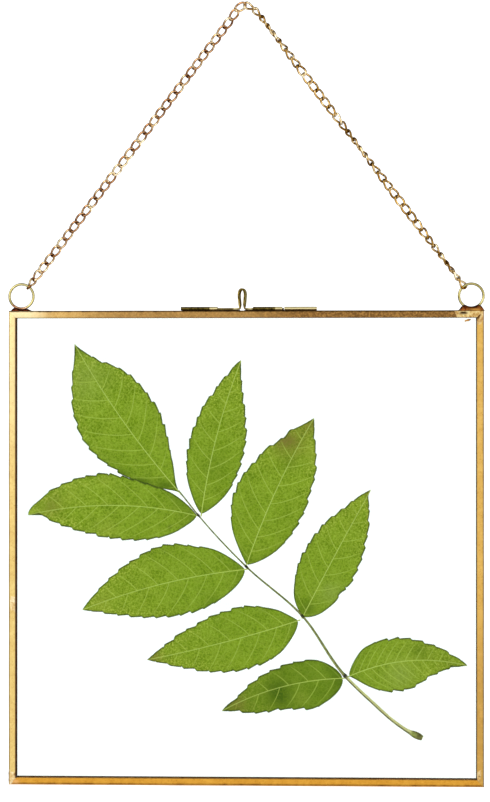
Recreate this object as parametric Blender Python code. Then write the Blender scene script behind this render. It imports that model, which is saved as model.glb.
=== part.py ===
"""Hanging glass frame that holds one pressed ash leaf. Metres, +Z up, the front faces -Y.

Two square halves of mitred brass channel each carry a glass pane, and the leaf lies between the
panes. The back half turns on two small hinges under the bottom edge, and a flat bolt with a looped
handle slides in sleeves along the top edge. The origin is the top joint of the chain, where a hook
goes through, so everything else hangs below it.
"""
import math

import bmesh
import bpy
import numpy as np
from mathutils import Vector

MM = 0.001

# Frame
frame_side = 200.0 * MM             # outside width and height
half_depth = 2.95 * MM              # one half, front to back
rail_face = 3.0 * MM                # width of a rail seen from the front
rail_wall = 0.4 * MM                # sheet thickness of the channel
rail_edge = 0.3 * MM                # bevel along the outer corner
groove = 0.6 * MM                   # bevel along the seam between the halves
half_gap = 0.3 * MM                 # between the two halves
mitre_gap = 0.3 * MM                # between two rails at a corner
frame_drop = 228.8 * MM             # hanging point down to the frame's centre
frame_shift = 0.3 * MM              # the frame's centre hangs this far right of the hook

# Panes
glass_thickness = 1.5 * MM
glass_bite = 1.5 * MM               # glass edge to the rail's outer face
glass_bevel = 0.2 * MM

# Hanging rings, and the solder that joins them to the top rail
ring_spread = 94.75 * MM            # ring centre from the frame's middle
ring_height = 106.1 * MM            # ring centre above the frame's middle
ring_radius = 5.1 * MM              # to the middle of the wire
ring_wire = 0.55 * MM               # wire radius
solder_gap = 0.2 * MM
solder_depth = 2.2 * MM
solder_sizes = {                    # base width, top width, height
    "left": (9.0 * MM, 7.4 * MM, 1.2 * MM),
    "right": (10.4 * MM, 8.0 * MM, 2.1 * MM),
}

# Chain
link_pitch = 4.29 * MM
link_width = 3.75 * MM
link_waist = 0.78                   # width at a joint, as a share of link_width
chain_thickness = 1.9 * MM
chain_clearance = 0.3 * MM
link_steps = 3                      # sections along a link
bend_drop = 5.64 * MM                       # where a straight run begins, below the top joint
bend_reach = {"left": 5.85 * MM, "right": 7.3 * MM}     # and out to its side
bend_handle = 2.6 * MM
bend_points = 60
twist_start = math.radians(48.5)            # turn of the right run's flat side at the top
twist_rate = math.radians(2.9) / MM         # and how fast it turns on its way down

# Latch on the top edge
sleeve_height = 1.4 * MM
sleeve_depth = 4.6 * MM
sleeve_wall = 0.2 * MM
bolt_thickness = 0.6 * MM
bolt_depth = 2.8 * MM
sleeve_spans = {                    # along the top edge, from the frame's middle
    "sleeve_left": (-27.3 * MM, -11.9 * MM),
    "sleeve_right": (3.1 * MM, 15.4 * MM),
    "keeper_sleeve": (16.3 * MM, 30.0 * MM),
}
bolt_span = (-16.7 * MM, 15.75 * MM)
handle_x = -1.45 * MM
handle_top = 109.5 * MM
handle_widest = 106.7 * MM
handle_half_width = 1.35 * MM
handle_neck = 0.95 * MM
handle_foot = 0.5 * MM              # radius of the bend at each foot
handle_leg_shares = (0.35, 0.7)     # points up each leg, as shares of its height
handle_turn = math.radians(16.0)
handle_turn_height = 2.0 * MM       # the loop's turn is complete this far above the arms

# Hinges under the bottom edge
hinge_spread = 60.0 * MM
hinge_lift = 0.2 * MM               # axis above the frame's bottom edge
knuckle_radius = 0.65 * MM
knuckle_bore = 0.42 * MM
pin_radius = 0.25 * MM
knuckle_length = 2.6 * MM
knuckle_gap = 0.2 * MM
pin_half = 1.5 * knuckle_length + knuckle_gap       # half of three knuckles with the gaps between them

# Leaf
leaf_place = Vector((0.0, -0.5)) * MM       # the whole leaf, from where its points below put it
blade_thickness = 0.3 * MM
blade_layer = 0.3 * MM              # two leaflets cross, one on each side of the middle
tooth_reach = 0.7 * MM
tooth_span = (0.14, 0.96)           # where the teeth begin and end, as shares of the blade's length
tooth_point = 0.85                  # where a tooth's point lies between its two notches
tooth_growth = 2.0                  # teeth from the first until they have their full reach
tooth_fade = 3.0                    # how steeply their reach falls to nothing at the tip
base_shares = (0.15, 0.4, 0.7)      # points before the first tooth, as shares of the way to it
stalk_thickness = 1.0 * MM
stalk_sections = 26
# Points along the stalk from the end leaflet to the cut: across, up, half-width
stalk_points = [
    (-26.7, 22.8, 0.35), (-19.5, 14.1, 0.40), (-0.6, -7.5, 0.50), (23.4, -29.4, 0.62),
    (42.2, -53.7, 0.72), (52.8, -63.6, 0.75), (64.1, -73.7, 0.82), (68.8, -76.5, 1.30),
    (74.0, -78.9, 1.05),
]
# Each leaflet: base, tip, number of teeth, and for its left and right side the greatest half-width
# with the two powers of the width curve. Millimetres from the frame's middle; left and right as
# seen looking from base to tip.
leaflets = {
    "leaflet_end": ((-27.9, 23.8), (-72.1, 85.7), 12, (21.2, 1.25, 1.15), (13.4, 1.65, 1.6)),
    "leaflet_1_left": ((-20.6, 13.0), (-91.1, 14.9), 11, (10.9, 0.7, 1.2), (17.1, 0.8, 0.65)),
    "leaflet_1_right": ((-18.7, 14.8), (-2.2, 78.9), 11, (12.7, 0.8, 0.9), (11.3, 0.85, 1.35)),
    "leaflet_2_left": ((-1.1, -8.4), (-69.2, -25.9), 11, (12.7, 0.7, 1.1), (17.6, 0.85, 1.0)),
    "leaflet_2_right": ((0.4, -6.6), (28.9, 55.4), 11, (18.1, 0.95, 1.15), (13.2, 0.8, 1.1)),
    "leaflet_3_left": ((22.1, -30.1), (-41.8, -46.9), 10, (14.8, 0.7, 1.1), (11.9, 0.9, 1.1)),
    "leaflet_3_right": ((24.1, -28.4), (52.8, 25.2), 10, (13.3, 0.75, 1.0), (11.6, 0.65, 1.0)),
    "leaflet_4_left": ((40.0, -54.5), (-10.2, -68.4), 8, (8.9, 0.6, 1.15), (12.3, 0.6, 0.95)),
    "leaflet_4_right": ((43.5, -53.5), (92.9, -48.2), 8, (14.4, 0.65, 0.9), (8.6, 1.3, 2.0)),
}
blade_offsets = {"leaflet_end": blade_layer, "leaflet_1_left": -blade_layer}

# Faces round each form
ring_faces = (28, 6)                # round the ring, and round its wire
cutter_faces = (40, 10)             # the same for what cuts the solder under a ring
knuckle_faces = 12
notch_faces = 16
small_faces = 8                     # pins, chain and stalk
sleeve_end_steps = 4
foot_points = 5                     # along each bend of the bolt's strip
smooth_angle = 40                   # degrees between faces that are shaded as one
ring_smooth_angle = 50
marker_size = 10.0 * MM             # drawn size of the empty objects

half_side = frame_side / 2
hinge_height = -half_side + hinge_lift
bolt_height = half_side + solder_gap + sleeve_height / 2
ring_depth = -(half_gap + half_depth) / 2
frame_centre = Vector((frame_shift, 0.0, -frame_drop))


def clear_scene():
    for obj in list(bpy.data.objects):
        bpy.data.objects.remove(obj, do_unlink=True)


def make_material(name, colour, roughness, metallic, alpha=1.0):
    material = bpy.data.materials.new(name)
    material.use_nodes = True
    shader = material.node_tree.nodes["Principled BSDF"]
    shader.inputs["Base Color"].default_value = (*colour, 1.0)
    shader.inputs["Roughness"].default_value = roughness
    shader.inputs["Metallic"].default_value = metallic
    shader.inputs["Alpha"].default_value = alpha
    return material


def loft(name, rings, closed=False):
    """Mesh through equal rings of points: side faces, and two flat ends unless it closes on itself."""
    mesh = bpy.data.meshes.new(name)
    bm = bmesh.new()
    rows = [[bm.verts.new(point) for point in ring] for ring in rings]
    count = len(rows[0])
    last = len(rows) if closed else len(rows) - 1
    for i in range(last):
        row, after = rows[i], rows[(i + 1) % len(rows)]
        for j in range(count):
            k = (j + 1) % count
            bm.faces.new((row[j], row[k], after[k], after[j]))
    if not closed:
        bm.faces.new(rows[0])
        bm.faces.new(rows[-1])
    bmesh.ops.recalc_face_normals(bm, faces=bm.faces)
    bm.to_mesh(mesh)
    bm.free()
    return mesh


def place(name, mesh, material, parent, smooth=None, offset=(0.0, 0.0, 0.0)):
    """One named object; meshes are drawn from the frame's middle, and offset takes off the parent's place."""
    obj = bpy.data.objects.new(name, mesh)
    bpy.context.scene.collection.objects.link(obj)
    obj.parent = parent
    obj.location = offset
    if material:
        mesh.materials.append(material)
    if smooth is not None:
        mesh.shade_smooth()
        mesh.set_sharp_from_angle(angle=math.radians(smooth))
    return obj


def add_empty(name, location, parent=None):
    empty = bpy.data.objects.new(name, None)
    bpy.context.scene.collection.objects.link(empty)
    empty.empty_display_size = marker_size
    empty.location = location
    empty.parent = parent
    return empty


def cut(obj, name, mesh, parent, offset=(0.0, 0.0, 0.0)):
    """Take a hidden cutter away from an object."""
    cutter = place(name, mesh, None, parent, offset=offset)
    cutter.hide_render = True
    cutter.display_type = "WIRE"
    modifier = obj.modifiers.new(name, "BOOLEAN")
    modifier.operation = "DIFFERENCE"
    modifier.solver = "EXACT"
    modifier.object = cutter


def circle(radius, count):
    """Points of a circle as (first, second) pairs."""
    return [(radius * math.cos(2 * math.pi * i / count), radius * math.sin(2 * math.pi * i / count))
            for i in range(count)]


def cylinder_along_x(name, x0, x1, y, z, radius, count):
    return loft(name, [[(x, y + a, z + b) for a, b in circle(radius, count)] for x in (x0, x1)])


# ---- rails and panes ----

def rail_section():
    """Bent channel as (inward from the outer face, outward from the seam), open on its inward side."""
    inner_groove = groove + rail_wall * (math.sqrt(2) - 1)
    return [
        (rail_face, 0.0), (groove, 0.0), (0.0, groove),
        (0.0, half_depth - rail_edge), (rail_edge, half_depth), (rail_face, half_depth),
        (rail_face, half_depth - rail_wall), (rail_wall, half_depth - rail_wall),
        (rail_wall, inner_groove), (inner_groove, rail_wall), (rail_face, rail_wall),
    ]


def rail_mesh(name, side, facing):
    """One mitred rail on the given side; facing is -1 for the front half, 1 for the back."""
    mitre = mitre_gap / 2 * math.sqrt(2)
    rings = []
    for end in (-1, 1):
        ring = []
        for inward, outward in rail_section():
            along = end * (half_side - inward - mitre)
            across = half_side - inward
            depth = facing * (half_gap / 2 + outward)
            if side == "top":
                ring.append((along, depth, across))
            elif side == "bottom":
                ring.append((along, depth, -across))
            elif side == "left":
                ring.append((-across, depth, along))
            else:
                ring.append((across, depth, along))
        rings.append(ring)
    return loft(name, rings)


def pane_mesh(name, facing):
    """Square pane with a small bevel round each face, centred in the channel of its half."""
    middle = facing * (half_gap + half_depth) / 2
    reach = half_side - glass_bite
    thick = glass_thickness / 2
    rings = []
    for depth, inset in ((-thick, glass_bevel), (-thick + glass_bevel, 0.0),
                         (thick - glass_bevel, 0.0), (thick, glass_bevel)):
        r = reach - inset
        rings.append([(sx * r, middle + depth, sz * r) for sx, sz in ((-1, -1), (1, -1), (1, 1), (-1, 1))])
    return loft(name, rings)


def build_half(prefix, facing, parent, offset, brass, glass):
    for side in ("top", "bottom", "left", "right"):
        rail_name = f"{prefix}_rail_{side}"
        rail = place(rail_name, rail_mesh(rail_name, side, facing), brass, parent, offset=offset)
        if side == "bottom":
            for word, sign in (("left", -1), ("right", 1)):
                # Notch that the hinge barrel sits in
                reach = pin_half + knuckle_gap
                middle = sign * hinge_spread
                notch = cylinder_along_x("notch", middle - reach, middle + reach, 0.0, hinge_height,
                                         knuckle_radius + knuckle_gap, notch_faces)
                cut(rail, f"{prefix}_notch_{word}", notch, parent, offset)
    pane_name = f"{prefix}_glass"
    place(pane_name, pane_mesh(pane_name, facing), glass, parent, offset=offset)


# ---- rings and chain ----

def torus_mesh(name, centre, radius, wire, count, sides):
    """Ring lying in the plane of the frame."""
    rings = []
    for a, b in circle(1.0, count):
        rings.append([(centre[0] + a * (radius + u), centre[1] + v, centre[2] + b * (radius + u))
                      for u, v in circle(wire, sides)])
    return loft(name, rings, closed=True)


def build_ring(word, sign, parent, brass, solder):
    base, top, height = solder_sizes[word]
    centre = (sign * ring_spread, ring_depth, ring_height)
    ring_name = f"ring_{word}"
    place(ring_name, torus_mesh(ring_name, centre, ring_radius, ring_wire, *ring_faces), brass, parent,
          smooth=ring_smooth_angle)

    low = half_side + solder_gap
    high = low + height
    faces = []
    for y in (ring_depth - solder_depth / 2, ring_depth + solder_depth / 2):
        faces.append([(centre[0] - base / 2, y, low), (centre[0] + base / 2, y, low),
                      (centre[0] + top / 2, y, high), (centre[0] - top / 2, y, high)])
    name = f"ring_solder_{word}"
    saddle = place(name, loft(name, faces), solder, parent)
    trough = torus_mesh("trough", centre, ring_radius, ring_wire + solder_gap, *cutter_faces)
    cut(saddle, f"solder_trough_{word}", trough, parent)
    eye_radius = ring_radius - ring_wire
    eye = loft("eye", [[(centre[0] + a, y, centre[2] + b) for a, b in circle(eye_radius, cutter_faces[0])]
                       for y in (ring_depth - solder_depth, ring_depth + solder_depth)])
    cut(saddle, f"solder_eye_{word}", eye, parent)


def chain_route(word, sign, ring_centre, stop):
    """Dense points from the top joint: a short bend, then straight towards the middle of the ring."""
    bend_end = Vector((sign * bend_reach[word], 0.0, -bend_drop))
    run = (Vector((ring_centre.x, 0.0, ring_centre.z)) - bend_end).normalized()
    start = Vector((sign * chain_clearance / 2, 0.0, 0.0))
    corners = [start, start + Vector((sign * bend_handle, 0.0, 0.0)), bend_end - run * bend_handle, bend_end]
    t = np.linspace(0.0, 1.0, bend_points)[:, None]
    weights = ((1 - t) ** 3, 3 * t * (1 - t) ** 2, 3 * t ** 2 * (1 - t), t ** 3)
    bend = sum(w * np.array(c) for w, c in zip(weights, corners))
    last = np.array(Vector((ring_centre.x, 0.0, ring_centre.z)) - run * stop)
    points = np.vstack([bend, last])
    reach = np.concatenate([[0.0], np.cumsum(np.linalg.norm(np.diff(points, axis=0), axis=1))])
    points[:, 1] = ring_centre.y * reach / reach[-1]
    return points, reach


def chain_mesh(name, word, sign, ring_centre):
    """Outer shape of a run of curb chain: a flat oval band that narrows at each joint."""
    points, reach = chain_route(word, sign, ring_centre, ring_radius + ring_wire + chain_clearance)
    links = round(reach[-1] / link_pitch)
    stations = np.linspace(0.0, reach[-1], links * link_steps + 1)
    centres = np.stack([np.interp(stations, reach, points[:, i]) for i in range(3)], axis=1)
    tangents = np.gradient(centres, axis=0)
    tangents[0] = (sign, 0.0, 0.0)
    rings = []
    for i, (centre, tangent) in enumerate(zip(centres, tangents)):
        ahead = Vector(tangent).normalized()
        across = Vector((0.0, -sign, 0.0)).cross(ahead).normalized()
        through = ahead.cross(across)
        turn = twist_start + twist_rate * stations[i] if sign > 0 else 0.0
        width = link_width / 2 * (link_waist if i % link_steps == 0 else 1.0)
        ring = []
        for a, b in circle(1.0, small_faces):
            u, v = a * width, b * chain_thickness / 2
            ring.append(Vector(centre)
                        + across * (u * math.cos(turn) - v * math.sin(turn))
                        + through * (u * math.sin(turn) + v * math.cos(turn)))
        rings.append(ring)
    return loft(name, rings)


# ---- latch ----

def stadium(half_height, half_length):
    """Outline with two straight sides and round ends, as (depth, height) pairs."""
    points = []
    straight = half_length - half_height
    for sign in (1, -1):
        for i in range(sleeve_end_steps + 1):
            angle = sign * math.pi / 2 - math.pi * i / sleeve_end_steps
            points.append((sign * straight + half_height * math.cos(angle), half_height * math.sin(angle)))
    return points


def sleeve_mesh(name, x0, x1):
    """Flattened tube along X that the bolt slides through."""
    outer = stadium(sleeve_height / 2, sleeve_depth / 2)
    inner = stadium(sleeve_height / 2 - sleeve_wall, sleeve_depth / 2 - sleeve_wall)
    rings = []
    for (y, z), (v, w) in zip(outer, inner):
        rings.append([(x0, y, bolt_height + z), (x1, y, bolt_height + z),
                      (x1, v, bolt_height + w), (x0, v, bolt_height + w)])
    return loft(name, rings, closed=True)


def bolt_path():
    """Middle line of the strip: arm, bent foot, loop, bent foot, arm, as (x, z) from the handle's middle."""
    foot = [(handle_neck + handle_foot * (1 + math.cos(a)), bolt_height + handle_foot * (1 + math.sin(a)))
            for a in np.linspace(-math.pi / 2, -math.pi, foot_points)]
    leg_low = bolt_height + handle_foot
    leg = []
    for share in handle_leg_shares:
        blend = share * share * (3 - 2 * share)
        leg.append((handle_neck + (handle_half_width - handle_neck) * blend,
                    leg_low + (handle_widest - leg_low) * share))
    rise = handle_top - bolt_thickness / 2 - handle_widest
    head = [(handle_half_width * math.cos(a), handle_widest + rise * math.sin(a))
            for a in np.linspace(0.0, math.pi / 2, foot_points)]
    right = foot + leg + head
    left = [(-x, z) for x, z in right[:-1]]
    middle = left + right[::-1]
    return ([(bolt_span[0] - handle_x, bolt_height)] + middle
            + [(bolt_span[1] - handle_x, bolt_height)])


def bolt_mesh(name):
    """Flat strip of one thickness along the path, its loop turned a little about the vertical."""
    path = np.array(bolt_path())
    step = np.gradient(path, axis=0)
    step /= np.linalg.norm(step, axis=1)[:, None]
    normal = np.stack([-step[:, 1], step[:, 0]], axis=1)
    rings = []
    for (x, z), (u, w) in zip(path, normal):
        ring = []
        for across, y in ((1, -1), (1, 1), (-1, 1), (-1, -1)):
            px = x + across * u * bolt_thickness / 2
            pz = z + across * w * bolt_thickness / 2
            depth = y * bolt_depth / 2
            rise = min(max((z - bolt_height) / handle_turn_height, 0.0), 1.0)
            turn = handle_turn * rise * rise * (3 - 2 * rise)
            ring.append((handle_x + px * math.cos(turn) + depth * math.sin(turn),
                         depth * math.cos(turn) - px * math.sin(turn), pz))
        rings.append(ring)
    return loft(name, rings)


# ---- hinges ----

def knuckle_mesh(name, x0, x1):
    section = ((x0, knuckle_radius), (x1, knuckle_radius), (x1, knuckle_bore), (x0, knuckle_bore))
    rings = []
    for a, b in circle(1.0, knuckle_faces):
        rings.append([(x, a * r, hinge_height + b * r) for x, r in section])
    return loft(name, rings, closed=True)


def build_hinge(word, sign, front, back, back_offset, brass):
    """Three knuckles on one pin: the outer two on the front half, the middle one on the back half."""
    middle = sign * hinge_spread
    pitch = knuckle_length + knuckle_gap
    for place_word, step in (("outer", sign), ("middle", 0), ("inner", -sign)):
        centre = middle + step * pitch
        name = f"hinge_{word}_knuckle_{place_word}"
        mesh = knuckle_mesh(name, centre - knuckle_length / 2, centre + knuckle_length / 2)
        if step:
            place(name, mesh, brass, front, smooth=smooth_angle)
        else:
            place(name, mesh, brass, back, smooth=smooth_angle, offset=back_offset)
    name = f"hinge_{word}_pin"
    pin = cylinder_along_x(name, middle - pin_half, middle + pin_half, 0.0, hinge_height, pin_radius,
                           small_faces)
    place(name, pin, brass, front, smooth=smooth_angle)


# ---- leaf ----

def side_outline(width, rise_power, fall_power, teeth):
    """(share of length, half-width) pairs along one side, with teeth that point to the tip.

    The points of the teeth lie at width * t**rise_power * (1 - t)**fall_power, scaled to peak at width.
    """
    peak = rise_power / (rise_power + fall_power)
    scale = width * MM / (peak ** rise_power * (1 - peak) ** fall_power)

    def plain(t):
        return scale * t ** rise_power * (1 - t) ** fall_power

    first, last = tooth_span
    pairs = [(first * share, plain(first * share)) for share in base_shares]
    pitch = (last - first) / teeth
    for i in range(teeth):
        start = first + i * pitch
        notch = tooth_reach * min(1.0, i / tooth_growth, tooth_fade * (1 - start))
        tooth = start + tooth_point * pitch
        pairs.append((start, plain(start) - notch))
        pairs.append((tooth, plain(tooth)))
    pairs.append((last, plain(last)))
    return pairs


def leaflet_mesh(name, base, tip, teeth, left, right):
    """Toothed blade: a flat plate whose sides are set off from the chord between base and tip."""
    base, tip = Vector(base) * MM + leaf_place, Vector(tip) * MM + leaf_place
    along = tip - base
    side = Vector((-along.y, along.x)).normalized()
    outline = [base]
    outline += [base + along * t + side * w for t, w in side_outline(*left, teeth)]
    outline.append(tip)
    outline += [base + along * t - side * w for t, w in reversed(side_outline(*right, teeth))]
    middle = blade_offsets.get(name, 0.0)
    return loft(name, [[(p.x, middle + y, p.y) for p in outline]
                       for y in (-blade_thickness / 2, blade_thickness / 2)])


def stalk_mesh(name):
    """Flattened tapering stalk with a swollen cut end."""
    knots = (np.array(stalk_points) * MM) + (*leaf_place, 0.0)
    reach = np.concatenate([[0.0], np.cumsum(np.linalg.norm(np.diff(knots[:, :2], axis=0), axis=1))])
    samples = np.unique(np.concatenate([np.linspace(0.0, reach[-1], stalk_sections), reach[-3:]]))
    line = smooth_curve(knots, reach, samples)
    steps = np.gradient(line[:, :2], axis=0)
    steps /= np.linalg.norm(steps, axis=1)[:, None]
    rings = []
    for (x, z, half), (u, w) in zip(line, steps):
        thick = min(half, stalk_thickness / 2)
        rings.append([(x - w * a * half, b * thick, z + u * a * half) for a, b in circle(1.0, small_faces)])
    return loft(name, rings)


def smooth_curve(knots, reach, samples):
    """Cubic curve through the knots, its slope at each knot taken from the knots on either side."""
    slopes = np.gradient(knots, reach, axis=0)
    index = np.clip(np.searchsorted(reach, samples, side="right") - 1, 0, len(reach) - 2)
    span = (reach[index + 1] - reach[index])[:, None]
    t = (samples - reach[index])[:, None] / span
    return ((2 * t ** 3 - 3 * t ** 2 + 1) * knots[index] + (t ** 3 - 2 * t ** 2 + t) * span * slopes[index]
            + (3 * t ** 2 - 2 * t ** 3) * knots[index + 1] + (t ** 3 - t ** 2) * span * slopes[index + 1])


def main():
    clear_scene()
    brass = make_material("aged_brass", (0.62, 0.42, 0.15), 0.35, 1.0)
    pale_brass = make_material("ring_brass", (0.66, 0.58, 0.26), 0.3, 1.0)
    solder = make_material("brown_solder", (0.28, 0.14, 0.05), 0.5, 1.0)
    glass = make_material("clear_glass", (0.95, 0.98, 0.96), 0.02, 0.0, alpha=0.3)
    blade = make_material("leaf_blade", (0.22, 0.36, 0.03), 0.6, 0.0)
    stem = make_material("leaf_stalk", (0.38, 0.42, 0.08), 0.6, 0.0)

    hook = add_empty("hanging_point", (0.0, 0.0, 0.0))
    front = add_empty("front_half", frame_centre, hook)
    hinge = add_empty("back_half_hinge", (0.0, 0.0, hinge_height), front)
    slide = add_empty("bolt_slide", (handle_x, 0.0, bolt_height), front)
    back_offset = (0.0, 0.0, -hinge_height)
    bolt_offset = (-handle_x, 0.0, -bolt_height)

    build_half("front", -1, front, (0.0, 0.0, 0.0), brass, glass)
    build_half("back", 1, hinge, back_offset, brass, glass)

    for word, sign in (("left", -1), ("right", 1)):
        build_ring(word, sign, front, pale_brass, solder)
        build_hinge(word, sign, front, hinge, back_offset, brass)
        ring_centre = frame_centre + Vector((sign * ring_spread, ring_depth, ring_height))
        name = f"chain_{word}"
        place(name, chain_mesh(name, word, sign, ring_centre), brass, hook)

    for name, (x0, x1) in sleeve_spans.items():
        on_back = name == "keeper_sleeve"
        place(name, sleeve_mesh(name, x0, x1), brass, hinge if on_back else front, smooth=smooth_angle,
              offset=back_offset if on_back else (0.0, 0.0, 0.0))
    place("latch_bolt", bolt_mesh("latch_bolt"), brass, slide, smooth=smooth_angle, offset=bolt_offset)

    place("leaf_stalk", stalk_mesh("leaf_stalk"), stem, front, smooth=smooth_angle)
    for name, (base, tip, teeth, left, right) in leaflets.items():
        place(name, leaflet_mesh(name, base, tip, teeth, left, right), blade, front)


main()
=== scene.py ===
import functools
import math

import bpy
import numpy as np
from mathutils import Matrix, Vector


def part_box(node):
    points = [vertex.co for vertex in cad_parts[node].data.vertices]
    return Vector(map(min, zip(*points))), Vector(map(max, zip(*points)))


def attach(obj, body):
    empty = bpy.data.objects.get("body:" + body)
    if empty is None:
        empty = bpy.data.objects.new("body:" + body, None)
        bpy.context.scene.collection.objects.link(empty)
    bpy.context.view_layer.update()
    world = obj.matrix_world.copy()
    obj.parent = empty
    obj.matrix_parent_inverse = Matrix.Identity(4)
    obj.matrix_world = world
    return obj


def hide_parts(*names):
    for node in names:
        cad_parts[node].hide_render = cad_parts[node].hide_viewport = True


# Looks of a hanging brass and glass frame that holds one pressed ash leaf.
# Lengths in the dictionaries are millimetres, measured from the frame's middle unless a note says otherwise;
# across is +X, depth is +Y (away from the viewer) and up is +Z.

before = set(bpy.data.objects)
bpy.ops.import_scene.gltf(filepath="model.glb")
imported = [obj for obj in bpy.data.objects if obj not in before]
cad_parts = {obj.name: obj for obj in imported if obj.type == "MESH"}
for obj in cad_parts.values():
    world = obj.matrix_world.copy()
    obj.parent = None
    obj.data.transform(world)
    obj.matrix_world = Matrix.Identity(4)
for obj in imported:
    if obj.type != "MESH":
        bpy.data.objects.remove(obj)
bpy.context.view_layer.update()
mm = 0.001


def boxOf(node):
    low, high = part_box(node)
    return np.array(low) / mm, np.array(high) / mm


# The frame's middle and half side, read from the four front rails
railLeft, railRight = boxOf("front_rail_left"), boxOf("front_rail_right")
railTop, railBottom = boxOf("front_rail_top"), boxOf("front_rail_bottom")
middle = np.array([(railLeft[0][0] + railRight[1][0]) / 2, 0.0, (railBottom[0][2] + railTop[1][2]) / 2])
halfSide = (railRight[1][0] - railLeft[0][0]) / 2
seamGap = -railLeft[1][1]                  # from the middle plane to each half
halfDepth = railLeft[1][1] - railLeft[0][1]
frontDepth = -(seamGap + halfDepth / 2)    # the middle of the front half
print("frame read: half side %.2f mm, half depth %.2f mm" % (halfSide, halfDepth))


def addObject(name, data):
    made = bpy.data.objects.new(name, data)
    bpy.context.scene.collection.objects.link(made)
    return made


def linearColour(hexText):
    # sRGB hex text to linear red, green and blue
    parts = [int(hexText[i:i + 2], 16) / 255 for i in (1, 3, 5)]
    return tuple(c / 12.92 if c <= 0.04045 else ((c + 0.055) / 1.055) ** 2.4 for c in parts) + (1.0,)


def setInputs(tree, node, inputs):
    # links or sets a node's inputs, given by name or in their order; hex text is a colour
    sockets = [socket for socket in node.inputs if socket.enabled]
    named = {socket.name: socket for socket in reversed(sockets)}
    if isinstance(inputs, dict):
        sockets, inputs = [named[word] for word in inputs], inputs.values()
    for socket, value in zip(sockets, inputs):
        if isinstance(value, bpy.types.NodeSocket):
            tree.links.new(value, socket)
        else:
            socket.default_value = linearColour(value) if isinstance(value, str) else value


mainSetting = {"Math": "operation", "VectorMath": "operation", "Mix": "data_type", "TexVoronoi": "feature",
               "MapRange": "interpolation_type", "Attribute": "attribute_name"}


def addNode(tree, kind, inputs=(), choice=None, take=None, ramp=(), clamp=False):
    # one node with its settings and links; choice is for its main setting, and the output given back is the
    # one named take, or its first one
    node = tree.nodes.new("ShaderNode" + kind)
    if choice:
        setattr(node, mainSetting[kind], choice)
    if clamp:
        node.use_clamp = True
    if ramp:
        stops = node.color_ramp.elements
        while len(stops) < len(ramp):
            stops.new(0.5)
        for stop, (place, colour) in zip(stops, ramp):
            stop.position, stop.color = place, linearColour(colour)
    setInputs(tree, node, inputs)
    outputs = [socket for socket in node.outputs if socket.enabled and take in (None, socket.name)]
    return outputs[0] if outputs else node


def newMaterial(name):
    # a material, the function that adds a node to it, and the one that sets its shader's inputs
    material = bpy.data.materials.new(name)
    material.use_nodes = True
    tree = material.node_tree
    shader = tree.nodes["Principled BSDF"]
    return material, functools.partial(addNode, tree), functools.partial(setInputs, tree, shader)


cameraSet = {
    "distance": 900.0,                     # from the aim point
    "yaw": 1.867,                          # degrees to the right of square on
    "aim": (-0.013, 0.0, -166.87),         # from the hanging point
    "lens": 95.75,
}


def buildCamera():
    data = bpy.data.cameras.new("photoCamera")
    data.lens = cameraSet["lens"]
    camera = addObject("photoCamera", data)
    yaw = math.radians(cameraSet["yaw"])
    away = np.array([math.sin(yaw), -math.cos(yaw), 0.0]) * cameraSet["distance"]
    camera.location = (np.array(cameraSet["aim"]) + away) * mm
    camera.rotation_euler = (math.radians(90.0), 0.0, yaw)
    bpy.context.scene.camera = camera


studioSet = {
    "paperWhite": 1.3,                     # what is seen past the object and straight through the panes
    "frontGlow": 1.0, "backGlow": 0.5,     # what brass mirrors from in front and from behind
    "wallGlow": 0.22, "wallSide": 0.3, "wallUp": -0.1,       # brass to the sides: level, slopes across and up
    "paneDark": 0.02, "paneSide": 0.5,     # what the panes mirror straight on, and at a slant
    "leafLight": (-0.42, -0.62, 0.66), "leafGlow": (0.55, 1.5),    # where the leaf's light is, least and most
    "floorBelow": 500.0,                   # under the hanging point, clear of the opened back half
    "floorRadius": 840.0,
    "keyLight": (700.0, (-700.0, -900.0, 500.0), 5.0),               # size, place and power
    "fillLight": (600.0, (900.0, -500.0, 150.0), 2.5),
}


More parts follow.
